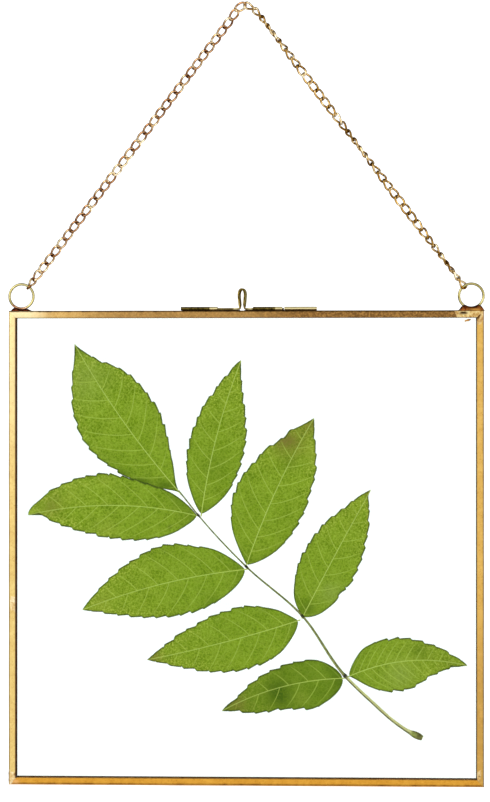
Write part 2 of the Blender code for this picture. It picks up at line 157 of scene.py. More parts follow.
def buildWorld():
    # white paper behind; brass mirrors a bright front, dim walls, a dark left and ceiling; the panes, mirror
    # sharp, see a dark room straight in front; the leaf is lit softly, most from the upper left
    s = studioSet
    world = bpy.data.worlds.new("studio")
    bpy.context.scene.world = world
    world.use_nodes = True
    world.node_tree.nodes.clear()
    add = functools.partial(addNode, world.node_tree)
    path = add("LightPath").node.outputs
    toward = add("TexCoord", take="Generated")
    x, y, z = add("SeparateXYZ", [toward]).node.outputs
    side = add("Math", [x, s["wallSide"], s["wallGlow"]], "MULTIPLY_ADD")
    walls = add("Math", [z, s["wallUp"], side], "MULTIPLY_ADD", clamp=True)
    ahead = add("MapRange", [y, -0.75, -0.2, 1.0, 0.0], "SMOOTHSTEP")
    behind = add("MapRange", [y, 0.5, 0.95], "SMOOTHSTEP")
    fronted = add("Mix", [ahead, walls, s["frontGlow"]])
    onBrass = add("Mix", [behind, fronted, s["backGlow"]])
    depth = add("Math", [y], "ABSOLUTE")
    onPane = add("MapRange", [depth, 0.6, 0.94, s["paneSide"], s["paneDark"]], "SMOOTHSTEP")
    slope = add("VectorMath", [toward, s["leafLight"]], "DOT_PRODUCT", take="Value")
    onLeaf = add("MapRange", [slope, -1.0, 1.0, *s["leafGlow"]])
    bounces = add("Math", [path["Diffuse Depth"], path["Glossy Depth"]], "ADD")
    unbounced = add("Math", [bounces, 0.5], "LESS_THAN")
    undiffused = add("Math", [path["Diffuse Depth"], 0.5], "LESS_THAN")
    through = add("Math", [path["Is Transmission Ray"], unbounced], "MULTIPLY")
    mirrored = add("Math", [path["Is Singular Ray"], undiffused], "MULTIPLY")
    straight = add("Math", [path["Is Camera Ray"], through], "MAXIMUM")
    strength = add("Mix", [path["Is Glossy Ray"], onLeaf, onBrass])
    withPanes = add("Mix", [mirrored, strength, onPane])
    shown = add("Mix", [straight, withPanes, s["paperWhite"]])
    add("OutputWorld", {"Surface": add("Background", ["#FFFFFF", shown])})


def buildLight(name):
    size, place, power = studioSet[name]
    data = bpy.data.lights.new(name, "AREA")
    data.size = size * mm
    data.energy = power
    light = addObject(name, data)
    light.location = np.array(place) * mm + middle * mm
    aim = -np.array(place)
    light.rotation_euler = (math.atan2(math.hypot(aim[0], aim[1]), -aim[2]), 0.0,
                            math.atan2(aim[0], -aim[1]) + math.pi)
    light.visible_camera = False


def buildFloor():
    # flat disc of painted board
    angle = fullTurn(96)
    rim = np.stack([np.cos(angle), np.sin(angle), 0 * angle], axis=1) * studioSet["floorRadius"]
    rim[:, 2] = -studioSet["floorBelow"]
    mesh = bpy.data.meshes.new("floor")
    mesh.from_pydata((rim * mm).tolist(), [], [list(range(len(rim)))])
    floor = addObject("floor", mesh)
    material, _, shade = newMaterial("paintedBoard")
    shade({"Base Color": "#D2D0CC", "Roughness": 0.8})
    mesh.materials.append(material)


def buildStage():
    bpy.context.scene.view_settings.view_transform = "Standard"
    buildCamera()
    buildWorld()
    buildLight("keyLight")
    buildLight("fillLight")
    buildFloor()
    print("stage built")


# Surfaces: a part is a closed skin (points, quads, triangles) and its attributes, one number for each point

def fullTurn(count):
    return np.linspace(0.0, 2 * math.pi, count, endpoint=False)


def smoothStep(values):
    held = np.clip(values, 0.0, 1.0)
    return held * held * (3.0 - 2.0 * held)


def bell(values):
    return np.exp(-values ** 2)


def placed(x, y, z):
    # points from three arrays, measured from the frame's middle, that need only agree once broadcast
    return np.stack(np.broadcast_arrays(x, y, z), axis=-1) + middle


def headings(line, closed=False):
    # unit directions along a line of points
    step = (np.roll(line, -1, axis=0) - np.roll(line, 1, axis=0)) if closed else np.gradient(line, axis=0)
    return step / np.linalg.norm(step, axis=1)[:, None]


def gridFaces(rows, columns, closeRows):
    # quads between neighbours on a grid of closed rings, numbered ring after ring
    r = np.arange(rows if closeRows else rows - 1)[:, None]
    c = np.arange(columns)[None, :]
    after, beside = (r + 1) % rows, (c + 1) % columns
    quads = [r * columns + c, r * columns + beside, after * columns + beside, after * columns + c]
    return np.stack(quads, axis=-1).reshape(-1, 4)


def outward(points, quads, fans):
    # turns a closed skin so that the volume under its faces is positive
    corners = np.concatenate([quads[:, [0, 1, 2]], quads[:, [0, 2, 3]], fans])
    a, b, c = (points[corners[:, i]] - points.mean(axis=0) for i in range(3))
    if np.einsum("ij,ij->i", a, np.cross(b, c)).sum() < 0:
        quads, fans = quads[:, ::-1], fans[:, ::-1]
    return points, quads, fans


def tube(rings, shades, closeRows=False):
    # a row of closed rings of points, and shades on the same grid, become one part; open ends get a fan round
    # a middle point
    rows, columns = rings.shape[:2]
    points, fans = rings.reshape(-1, 3), np.zeros((0, 3), int)
    if not closeRows:
        first, count = np.arange(columns), rows * columns
        beside, last = (first + 1) % columns, count - columns
        fans = np.concatenate([np.stack([beside, first, np.full(columns, count)], axis=1),
                               np.stack([last + first, last + beside, np.full(columns, count + 1)], axis=1)])
        points = np.concatenate([points, np.stack([rings[0].mean(axis=0), rings[-1].mean(axis=0)])])
    attributes = {}
    for word, shade in shades.items():
        shade = np.broadcast_to(shade, (rows, columns))
        ends = [] if closeRows else [shade[0].mean(), shade[-1].mean()]
        attributes[word] = np.concatenate([shade.reshape(-1), ends])
    return outward(points, gridFaces(rows, columns, closeRows), fans), attributes


def joined(*parts):
    # several parts in one; an attribute that a part hasn't is 0 there
    starts = np.cumsum([0] + [len(skin[0]) for skin, _ in parts[:-1]])
    points = np.concatenate([skin[0] for skin, _ in parts])
    quads, fans = (np.concatenate([skin[i] + n for (skin, _), n in zip(parts, starts)]) for i in (1, 2))
    words = dict.fromkeys(word for _, attributes in parts for word in attributes)
    return (points, quads, fans), {
        word: np.concatenate([attributes.get(word, np.zeros(len(skin[0]))) for skin, attributes in parts])
        for word in words}


def makePiece(name, part, material, body, nodes, sharp=40.0):
    # millimetre points, measured from the hanging point, into a mesh object that rides on its body
    (points, quads, fans), attributes = part
    mesh = bpy.data.meshes.new(name)
    mesh.vertices.add(len(points))
    mesh.vertices.foreach_set("co", (points * mm).astype(np.float32).ravel())
    loops = np.concatenate([quads.ravel(), fans.ravel()]).astype(np.int32)
    mesh.loops.add(len(loops))
    mesh.loops.foreach_set("vertex_index", loops)
    starts = np.concatenate([np.arange(len(quads)) * 4, len(quads) * 4 + np.arange(len(fans)) * 3])
    mesh.polygons.add(len(starts))
    mesh.polygons.foreach_set("loop_start", starts.astype(np.int32))
    mesh.update(calc_edges=True)
    mesh.validate()
    for word, values in attributes.items():
        layer = mesh.attributes.new(word, "FLOAT", "POINT")
        layer.data.foreach_set("value", values.astype(np.float32))
    mesh.shade_smooth()
    mesh.set_sharp_from_angle(angle=math.radians(sharp))
    mesh.materials.append(material)
    piece = addObject(name, mesh)
    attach(piece, body)
    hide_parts(*nodes)


def roundedOutline(corners, steps, longest):
    # closed outline: each corner (a, b, radius) becomes a quadratic arc, and long straights are divided
    corner = np.array(corners)
    points, radius = corner[:, :2], corner[:, 2:]
    before, after = np.roll(points, 1, axis=0) - points, np.roll(points, -1, axis=0) - points
    start = points + before / np.linalg.norm(before, axis=1)[:, None] * radius
    end = points + after / np.linalg.norm(after, axis=1)[:, None] * radius
    t = np.linspace(0.0, 1.0, steps + 1)[None, :, None]
    arcs = (1 - t) ** 2 * start[:, None] + 2 * t * (1 - t) * points[:, None] + t ** 2 * end[:, None]
    path = arcs.reshape(-1, 2)
    ahead = np.roll(path, -1, axis=0)
    pieces = np.maximum(1, np.ceil(np.linalg.norm(ahead - path, axis=1) / longest).astype(int))
    index = np.repeat(np.arange(len(path)), pieces)
    share = np.concatenate([np.arange(n) / n for n in pieces])[:, None]
    return path[index] * (1 - share) + ahead[index] * share


brassColours = {                           # shared by every brass part; each changes what differs
    "face": "#E0AA4A", "deep": "#C98F34", "light": "#EFC26A", "pale": "#F6DA93", "inner": "#7A4520",
    "edge": "#5E3A18", "oxide": "#946632", "oxideDark": "#5A3A1B", "oxideLight": "#C6944A",
    "solder": "#EFCF8C", "solderDeep": "#D2A052", "solderLight": "#FFF2CF",
}
noSolder = -9.0                            # solderReach where there is none


def brassMaterial(name, changes, wornRough=0.3, mottle=1.2, grain=0.012, graze="#FFFFFF"):
    # Rolled or drawn brass that has been lacquered and handled: warm and half bright, clouded by patches of
    # brown oxide as wide as mottle, and pale cream-gold where solder has run. innerShade is painted brown
    # shade inside channels and sleeves, beside a lip and in hollows; edgeShade is painted shade along rounded
    # edges.
    # Attributes: patinaShare, innerShade, paleShare and edgeShade 0 to 1, solderReach mm inside a solder run.
    # graze tints what it mirrors at a slant, where old lacquer is brownest.
    c = {**brassColours, **changes}
    material, add, shade = newMaterial(name)
    place = add("TexCoord", take="Object")
    patina, inner, solder, paleShare, edge = (
        add("Attribute", choice=word, take="Fac")
        for word in ("patinaShare", "innerShade", "solderReach", "paleShare", "edgeShade"))
    cloud = add("TexNoise", [place, 1000 / (mottle * 4), 4.0, 0.6])
    speck = add("TexNoise", [place, 1000 / mottle, 5.0, 0.7])
    tone = add("Mix", [0.45, cloud, speck])
    metal = add("ValToRGB", [tone], ramp=[(0.32, c["deep"]), (0.5, c["face"]), (0.68, c["light"])])
    pale = add("Mix", [paleShare, metal, c["pale"]], "RGBA")
    lift = add("Math", [patina, 1.25, speck], "MULTIPLY_ADD")
    stain = add("MapRange", [lift, 0.72, 1.6])
    oxide = add("ValToRGB", [speck],
                ramp=[(0.38, c["oxideDark"]), (0.5, c["oxide"]), (0.64, c["oxideLight"])])
    aged = add("Mix", [stain, pale, oxide], "RGBA")
    # painted shade along rounded edges and sides, broken up by the cloud
    edgeShadeBroken = add("Math", [edge, add("MapRange", [cloud, 0.35, 0.6, 1.0, 0.6])], "MULTIPLY")
    edged = add("Mix", [edgeShadeBroken, aged, c["edge"]], "RGBA")
    ragged = add("Math", [cloud, 4.0, solder], "MULTIPLY_ADD")
    run = add("MapRange", [ragged, 1.9, 2.5])
    tin = add("ValToRGB", [tone], ramp=[(0.4, c["solderDeep"]), (0.5, c["solder"]), (0.6, c["solderLight"])])
    soldered = add("Mix", [run, edged, tin], "RGBA")
    # painted shade inside channels and sleeves, beside the lip and in hollows, laid over everything
    colour = add("Mix", [inner, soldered, c["inner"]], "RGBA")
    rough = add("MapRange", [speck, 0.3, 0.7, wornRough - 0.06, wornRough + 0.1])
    height = add("Mix", [0.5, speck, cloud])
    shade({"Base Color": colour, "Metallic": 1.0, "Specular Tint": graze,
           "Roughness": add("Math", [stain, 0.12, rough], "MULTIPLY_ADD"),
           "Normal": add("Bump", {"Height": height, "Strength": 0.5, "Distance": grain * mm})})
    return material


railSet = {
    "face": 3.0, "wall": 0.4,
    "frontRound": 0.42, "seamRound": 0.7, "lipRound": 0.1, "insideRound": 0.25,
    "mitreGap": 0.02,
    "station": 1.6, "cornerStation": 0.3, "cornerReach": 14.0,       # between rings of points along a rail
    "finest": 0.42,                        # between points round the section
    "crown": 0.035,                        # the middle of a face stands this proud
    "ripple": 0.03,                        # hand-bent waviness
    "hingeSpread": 60.0, "hingeLift": 0.2, "notchRadius": 0.85, "notchHalf": 4.3,
    "lipShade": {"left": 0.5, "right": 0.15, "top": 0.12, "bottom": 0.05},    # width beside the lip darkened by painted shade
    "edgeShade": {"left": 0.8, "right": 0.8, "top": 1.0, "bottom": 1.0},      # painted shade on the outer edge
    "edgeReach": {"left": 0.55, "right": 0.6, "top": 0.75, "bottom": 1.0},    # and how far in it goes
}
# Solder on each front rail: middle along the rail, half length, slant of its end, height of the lump, and how
# far in from the outer edge it begins
solderRuns = {
    "left": [(-23.9, 3.2, 0.3, 0.02, 0.6), (-97.3, 3.0, 0.5, 0.14, -1.0)],
    "right": [(-94.6, 1.9, 1.0, 0.07, 1.2), (99.0, 4.5, 0.6, 0.05, -1.0)],
    "top": [(98.0, 10.0, -0.55, 0.06, -1.0)],
    "bottom": [(-99.5, 1.6, -1.0, 0.08, -1.0)],
}
backRuns = [(100.0, 5.5, 0.8, 0.1, -1.0), (-100.0, 5.0, -0.8, 0.1, -1.0)]
# Hollows on the front rails, darkened by painted shade: middle along, distance in, half length, half width,
# share of darkness
hollows = {
    "top": [(91.4, 1.15, 1.3, 0.42, 1.6)],
    "right": [(97.9, 1.9, 0.5, 0.4, 1.4), (97.1, 2.65, 0.65, 0.55, 2.2), (-95.4, 1.9, 0.3, 0.3, 0.8)],
    "left": [(-95.6, 2.7, 0.5, 0.5, 0.6)],
    "bottom": [(-97.0, 1.4, 1.4, 0.8, 0.45)],
}
# Left reads pale cream, right and bottom warm gold, top brown
railTints = {
    "left": dict(face="#E4C26C", deep="#DCB460", light="#EFD280", pale="#F5E4AE", inner="#5A2A0E",
                 edge="#8C7B4A", solder="#F3DDA8", solderDeep="#DDB878", solderLight="#FFF6DE"),
    "right": dict(face="#DFB25C", deep="#D6A650", light="#E8BE6A", inner="#5C3C18", edge="#6E5A2C",
                  solder="#D6B070", solderDeep="#B98A50", solderLight="#EAD29A"),
    "bottom": dict(face="#D99D39", deep="#CE9130", light="#E4AB44", inner="#F4BC7A", edge="#42190A",
                   solder="#F0DDB4"),
    "top": dict(face="#CFA660", deep="#B88E50", light="#E0BC7A", pale="#F4E0AC", inner="#3A2410",
                edge="#33260F", oxide="#8A6434", oxideDark="#5C3E1C", oxideLight="#B4884A",
                solder="#D2AE6C", solderDeep="#A97C3E", solderLight="#EBD79C"),
    "back": {},
}


def railSkin(side, facing, runs, pits):
    # mitred channel: the section (inward, outward) carried along, each ring stretched to its own mitre length
    s = railSet
    wall, face, deep = s["wall"], s["face"], halfDepth
    outline = roundedOutline([
        (face, 0.0, s["lipRound"]), (0.0, 0.0, s["seamRound"]), (0.0, deep, s["frontRound"]),
        (face, deep, s["lipRound"]), (face, deep - wall, s["lipRound"]),
        (wall, deep - wall, s["insideRound"]), (wall, wall, s["insideRound"]),
        (face, wall, s["lipRound"])], 5, s["finest"])
    closer = np.arange(0.0, s["cornerReach"], s["cornerStation"])
    stations = np.concatenate([np.linspace(-1.0, 1.0, int(2 * halfSide / s["station"]) + 1),
                               closer / halfSide - 1, 1 - closer / halfSide])
    if side == "bottom":
        edge = np.array([-1.0, -0.97, -0.5, 0.0, 0.5, 0.97, 1.0]) * s["notchHalf"]
        extra = [(sign * s["hingeSpread"] + edge + push) / halfSide
                 for sign in (-1, 1) for push in (-0.08, 0.08)]
        stations = np.concatenate([stations, *extra])
    stations = np.unique(np.round(stations, 5))
    along = stations[:, None] * (halfSide - outline[None, :, 0] - s["mitreGap"])
    inward, reach = (np.broadcast_to(values, along.shape) for values in outline.T)
    # which points lie on the face the viewer sees, and which on the outer side of the sheet
    onFace = smoothStep((reach - deep + 0.2) / 0.2)
    onSide = smoothStep((0.2 - inward) / 0.2)
    crown = s["crown"] * (1 - ((inward - face / 2) / (face / 2)) ** 2)
    ripple = s["ripple"] * (np.sin(along / 7.3 + facing + len(side)) + 0.6 * np.sin(along / 3.1 + 2 * facing))
    solder = np.full(along.shape, noSolder)
    lump = np.zeros(along.shape)
    for centre, half, lean, height, begin in runs:
        near = half - np.abs(along - centre - lean * (face / 2 - inward))
        near = np.minimum(near, (inward - begin) * 3)
        solder = np.maximum(solder, near)
        lump += height * smoothStep(near / half * 1.6) * (0.75 + 0.25 * np.sin(along * 1.9 + inward * 2.3))
    pit = np.zeros(along.shape)
    for centre, into, halfLong, halfWide, dark in pits:
        gone = -((along - centre) / halfLong) ** 2 - ((inward - into) / halfWide) ** 2
        pit = np.maximum(pit, dark * np.exp(gone))
    reachOut = reach + onFace * (crown + 0.35 * ripple + lump - 0.1 * pit)
    inwardOut = inward - onSide * (0.5 * ripple + lump)
    depth = facing * (seamGap + reachOut)
    across = halfSide - inwardOut
    if side == "bottom":
        # round notch where the hinge barrels lie: points nearer the pin than the notch are pushed out to it
        height = -across
        offY, offZ = depth, height - (s["hingeLift"] - halfSide)
        gone = np.hypot(offY, offZ)
        room = s["notchRadius"] + wall * ((inward > wall * 0.9) & (reach > wall * 0.9))
        beside = np.min([np.abs(along - sign * s["hingeSpread"]) for sign in (-1, 1)], axis=0)
        grow = np.where((beside < s["notchHalf"]) & (gone < room), room / np.maximum(gone, 0.05), 1.0)
        depth, across = offY * grow, -(offZ * grow + s["hingeLift"] - halfSide)
    x, z = {"top": (along, across), "bottom": (along, -across),
            "left": (-across, along), "right": (across, along)}[side]
    # painted shade: inside the channel, on its seam side, in a band beside the lip and in the hollows; then
    # painted shade along the outer rounded edge
    innerSide = (1 - smoothStep((reach - deep + 0.14) / 0.12) * (inward > 0.3)
                 - smoothStep((0.14 - inward) / 0.1))
    inner = np.clip(innerSide, 0.0, 1.0)
    inner = np.where(reach < 0.16, 0.8, inner)
    inner = np.maximum(inner, onFace * smoothStep((inward - face + s["lipShade"][side]) / 0.2))
    inner = np.maximum(inner, onFace * np.clip(pit * 1.6, 0.0, 1.0))
    edge = smoothStep((s["edgeReach"][side] - inward) / 0.3) * smoothStep((reach - deep + 0.8) / 0.3)
    edge = edge * s["edgeShade"][side]
    return placed(x, depth, z), along, {"solderReach": solder, "innerShade": inner, "edgeShade": edge}


def buildRails():
    materials = {word: brassMaterial("rolledBrass" + word.capitalize(), tint,
                                     mottle=0.7 if word == "top" else 1.2)
                 for word, tint in railTints.items()}
    for half, facing in (("front", -1), ("back", 1)):
        for side in ("top", "bottom", "left", "right"):
            runs, pits = (solderRuns[side], hollows[side]) if facing < 0 else (backRuns, [])
            rings, along, shades = railSkin(side, facing, runs, pits)
            patina = pale = 0.0
            if facing > 0:
                patina = 0.3 + 0.2 * np.sin(along / 23.0 + len(side))
            elif side == "top":
                patina = (0.08 + 0.56 * smoothStep((along + 88.0) / 40.0)
                          + 0.28 * smoothStep((along + 5.0) / 35.0))
                pale = 0.95 * smoothStep(1 - (along + 92.0) / 12.0)
            elif side == "right":
                patina = 0.42 * smoothStep(-along / 60.0)
            elif side == "left":
                pale = 0.15 + 0.5 * smoothStep((along - 20.0) / 60.0)
            shades.update(patinaShare=patina, paleShare=pale)
            makePiece(half + "Rail" + side.capitalize(), tube(rings, shades),
                      materials[side if facing < 0 else "back"], half + "_half", [f"{half}_rail_{side}"],
                      sharp=50.0)
    print("rails built")


def floatGlass():
    # Float glass, cooled flat on molten tin: clear, mirror smooth and faintly green, with long low swells
    # some 60 mm apart that only show where it mirrors something.
    material, add, shade = newMaterial("floatGlass")
    swell = add("TexNoise", [add("TexCoord", take="Object"), 1000 / 60, 1.0])
    shade({"Base Color": add("Mix", [swell, "#FEFFFE", "#F9FFFC"], "RGBA"),
           "Normal": add("Bump", {"Height": swell, "Strength": 0.3, "Distance": 0.02 * mm}),
           "Roughness": 0.0, "IOR": 1.5, "Transmission Weight": 1.0})
    return material


def buildPanes():
    glass = floatGlass()
    for word in ("front_glass", "back_glass"):
        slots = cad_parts[word].data.materials
        slots.clear()
        slots.append(glass)
    print("panes finished")


ringSet = {
    "spread": 94.75, "height": 106.1, "radius": 5.1, "wire": 0.55, "turns": 120, "sides": 20,
    "seats": {                             # outline: across from the ring's middle, and height over the rail
        "left": [(-4.5, 0.0), (-4.0, 0.75), (-3.3, 1.35), (-2.4, 1.42), (-1.2, 1.05), (0.2, 0.8), (1.6, 0.85),
                 (2.7, 0.95), (3.5, 0.45), (4.5, 0.0)],
        "right": [(-5.5, 0.0), (-4.9, 0.6), (-4.2, 1.6), (-3.6, 2.3), (3.6, 2.35), (4.4, 1.9), (5.0, 0.9),
                  (5.5, 0.0)],
    },
    "seatDepth": 1.46, "seatFoot": 0.28,   # half depth, and how far it runs down over the rail's rounded edge
    "gold": {"left": 99.0, "right": -2.5},           # from here to the right a seat's foot turns gold
    "rim": (0.65, 0.4),                    # painted shade along a seat's top: how far down, and how far it fades
    "ringLip": 0.1,                        # solder over the wire inside the ring
    # flake of the right seat's solder on the pane: across, up, half length, half height, thickness, tilt
    "splash": (93.2, 95.8, 1.45, 0.42, 0.12, 15.0),
}


def ringSkin(sign):
    # wire circle swept round a larger circle in the frame's plane, a hair out of true as a bent wire is
    s = ringSet
    turn, round_ = fullTurn(s["turns"])[:, None], fullTurn(s["sides"])[None, :]
    radius = s["radius"] * (1 + 0.006 * np.sin(2 * turn + sign)) + s["wire"] * np.cos(round_)
    depth = frontDepth + s["wire"] * np.sin(round_) + 0.03 * np.sin(turn + sign)
    rings = placed(sign * s["spread"] + radius * np.cos(turn), depth, s["height"] + radius * np.sin(turn))
    low = -np.sin(turn) - (0.25 * np.cos(turn) if sign < 0 else 0.0)
    # edgeShade is painted shade along the wire's inner and outer sides
    shades = {"solderReach": (low - 0.78) * 8.0, "patinaShare": 0.1 + 0.12 * np.sin(3 * turn + sign),
              "edgeShade": 0.85 * smoothStep((np.abs(np.cos(round_)) - 0.4) / 0.4)}
    return tube(rings, shades, True)


def seatSkin(word, sign):
    # solder seat: sections across the frame, each a low dome as tall as the seat's smoothed outline, but
    # never over the ring's inner edge
    s = ringSet
    outline = np.array(s["seats"][word])
    side = np.linspace(outline[0, 0], outline[-1, 0], 73)
    height = np.convolve(np.interp(side, outline[:, 0], outline[:, 1]), np.full(5, 0.2), "same")
    inner = s["radius"] - s["wire"]
    eye = s["height"] - halfSide - np.sqrt(np.maximum(inner ** 2 - side ** 2, 0.0)) + s["ringLip"]
    uneven = 1 + 0.05 * np.sin(side * 2.1 + sign) + 0.03 * np.sin(side * 5.3)
    tall = np.where(np.abs(side) < inner, np.minimum(height * uneven, eye), height * uneven) + s["seatFoot"]
    deep = s["seatDepth"] * np.minimum(0.6 + 0.5 * tall / tall.max(), 1.0)
    angle = np.linspace(0.0, math.pi, 19)
    dome = np.stack([np.cos(angle), np.sin(angle) ** 0.85], axis=-1)
    floorLine = np.stack([np.linspace(-1.0, 1.0, 9)[1:-1], np.full(7, -0.05)], axis=-1)
    section = np.concatenate([dome, floorLine])
    up = tall[:, None] * section[None, :, 1]
    rings = placed(sign * s["spread"] + side[:, None], frontDepth + deep[:, None] * section[None, :, 0],
                   halfSide - s["seatFoot"] + up)
    gold = smoothStep((side - s["gold"][word]) / 4.0) * smoothStep((4.4 - side) / 1.5)
    reach, fade = s["rim"]
    # rimShade is painted shade along the seat's top
    return tube(rings, {"goldShare": 0.85 * gold[:, None] * smoothStep((1.4 - up) / 0.8),
                        "rimShade": 0.95 * smoothStep((up - tall[:, None] + reach) / fade)})


def splashSkin():
    # low lens with an uneven edge, flat against the front of the pane, gold but for its brown right end
    acrossTo, upTo, halfLong, halfTall, thick, tilt = ringSet["splash"]
    along = np.linspace(-0.98, 0.98, 25)[:, None]
    angle = fullTurn(14)[None, :]
    reach = np.sqrt(1 - along ** 2) * (1 + 0.2 * np.sin(7 * along))
    far, rise = along * halfLong, halfTall * reach * np.cos(angle)
    cos, sin = math.cos(math.radians(tilt)), math.sin(math.radians(tilt))
    depth = boxOf("front_glass")[0][1] - thick / 2 + 0.55 * thick * reach * np.sin(angle)
    rings = placed(acrossTo + far * cos - rise * sin, depth, upTo + far * sin + rise * cos)
    return tube(rings, {"goldShare": 0.9 * smoothStep((0.6 - along) / 0.5), "rimShade": 0 * along})


def solderMaterial(name, dark, face, light, gold, rim):
    # Soft solder coloured to match, melted on by an iron: rounded, half glossy and brown with flux; one noise
    # gives both its colour and its bumps, so it is paler on its swells, a painted highlight. Attributes:
    # goldShare and rimShade 0 to 1; rimShade is painted shade along the top.
    material, add, shade = newMaterial(name)
    flux = add("TexNoise", [add("TexCoord", take="Object"), 900.0, 4.0, 0.6])
    colour = add("ValToRGB", [flux], ramp=[(0.4, dark), (0.52, face), (0.66, light)])
    for word, tint in (("goldShare", gold), ("rimShade", rim)):
        colour = add("Mix", [add("Attribute", choice=word, take="Fac"), colour, tint], "RGBA")
    shade({"Base Color": colour, "Metallic": 1.0, "Roughness": add("MapRange", [flux, 0.0, 1.0, 0.25, 0.55]),
           "Normal": add("Bump", {"Height": flux, "Strength": 0.6, "Distance": 0.06 * mm})})
    return material


def buildRings():
    wire = brassMaterial("drawnBrassRing", dict(
        face="#C0B476", deep="#988C48", light="#E2D9A4", edge="#645826", solder="#D9A277",
        solderLight="#EFD2AE", solderDeep="#9A6A44", oxide="#8A7838", oxideDark="#5B4A22",
        oxideLight="#B8A458"), wornRough=0.2, mottle=2.4, grain=0.004, graze="#8C8458")
    seats = {
        "left": solderMaterial("fluxBrownSolder", "#2A0E06", "#4E1E0E", "#6E3218", "#C08A3E", "#3A1008"),
        "right": solderMaterial("goldBrownSolder", "#4A200C", "#7A3E16", "#A8682C", "#C08A3E", "#35120A"),
    }
    for word, sign in (("left", -1), ("right", 1)):
        makePiece("ring" + word.capitalize(), ringSkin(sign), wire, "front_half", [f"ring_{word}"])
        parts = [seatSkin(word, sign)] + ([splashSkin()] if word == "right" else [])
        makePiece("ringSeat" + word.capitalize(), joined(*parts), seats[word], "front_half",
                  [f"ring_solder_{word}"])
    print("rings built")


chainSet = {
    "links": 35, "halfLength": 2.565, "halfWidth": 1.455, "twist": 0.62, "wire": 0.47,
    "bendDrop": 5.64, "bendReach": {"left": 5.85, "right": 7.3}, "bendHandle": 2.6, "start": 0.15,
    "twistStart": 48.5, "twistRate": 2.9,  # degrees at the top, and degrees per millimetre, right run
    "endTurn": {"left": (20.0, 55.0), "right": (0.0, 0.0)},         # the last two links turn to take the ring
    "jitter": 4.0, "around": 30, "sides": 9,
}
# The left run reads pinkish brown, the right one gold
chainTints = {
    "left": dict(face="#B87E4A", deep="#8A562C", light="#E0AC7A", edge="#42220C", pale="#E0B488",
                 oxide="#6E3E1C", oxideDark="#3C1C0A", oxideLight="#A46C3A"),
    "right": dict(face="#B8862E", deep="#8E6218", light="#DCAE50", edge="#44280A", pale="#DCB464",
                  oxide="#6E4614", oxideDark="#3E2408", oxideLight="#A4762A"),
}


def chainRoute(word, sign):
    # a short bend from the top joint as one cubic curve, then straight towards the middle of the ring
    s = chainSet
    target = np.array([sign * ringSet["spread"], frontDepth, ringSet["height"]]) + middle
    bendEnd = np.array([sign * s["bendReach"][word], 0.0, -s["bendDrop"]])
    run = (target - bendEnd) * (1, 0, 1)
    run /= np.linalg.norm(run)
    start = np.array([sign * s["start"], 0.0, 0.0])
    corners = [start, start + (sign * s["bendHandle"], 0.0, 0.0), bendEnd - run * s["bendHandle"], bendEnd]
    t = np.linspace(0.0, 1.0, 60)[:, None]
    weights = ((1 - t) ** 3, 3 * t * (1 - t) ** 2, 3 * t ** 2 * (1 - t), t ** 3)
    bend = sum(w * c for w, c in zip(weights, corners))
    stop = ringSet["radius"] - ringSet["wire"] - s["wire"]
    points = np.vstack([[[0.0, 0.0, 0.0]], bend, [target * (1, 0, 1) - run * stop]])
    reach = np.concatenate([[0.0], np.cumsum(np.linalg.norm(np.diff(points, axis=0), axis=1))])
    points[:, 1] = target[1] * reach / reach[-1]
    return points, reach


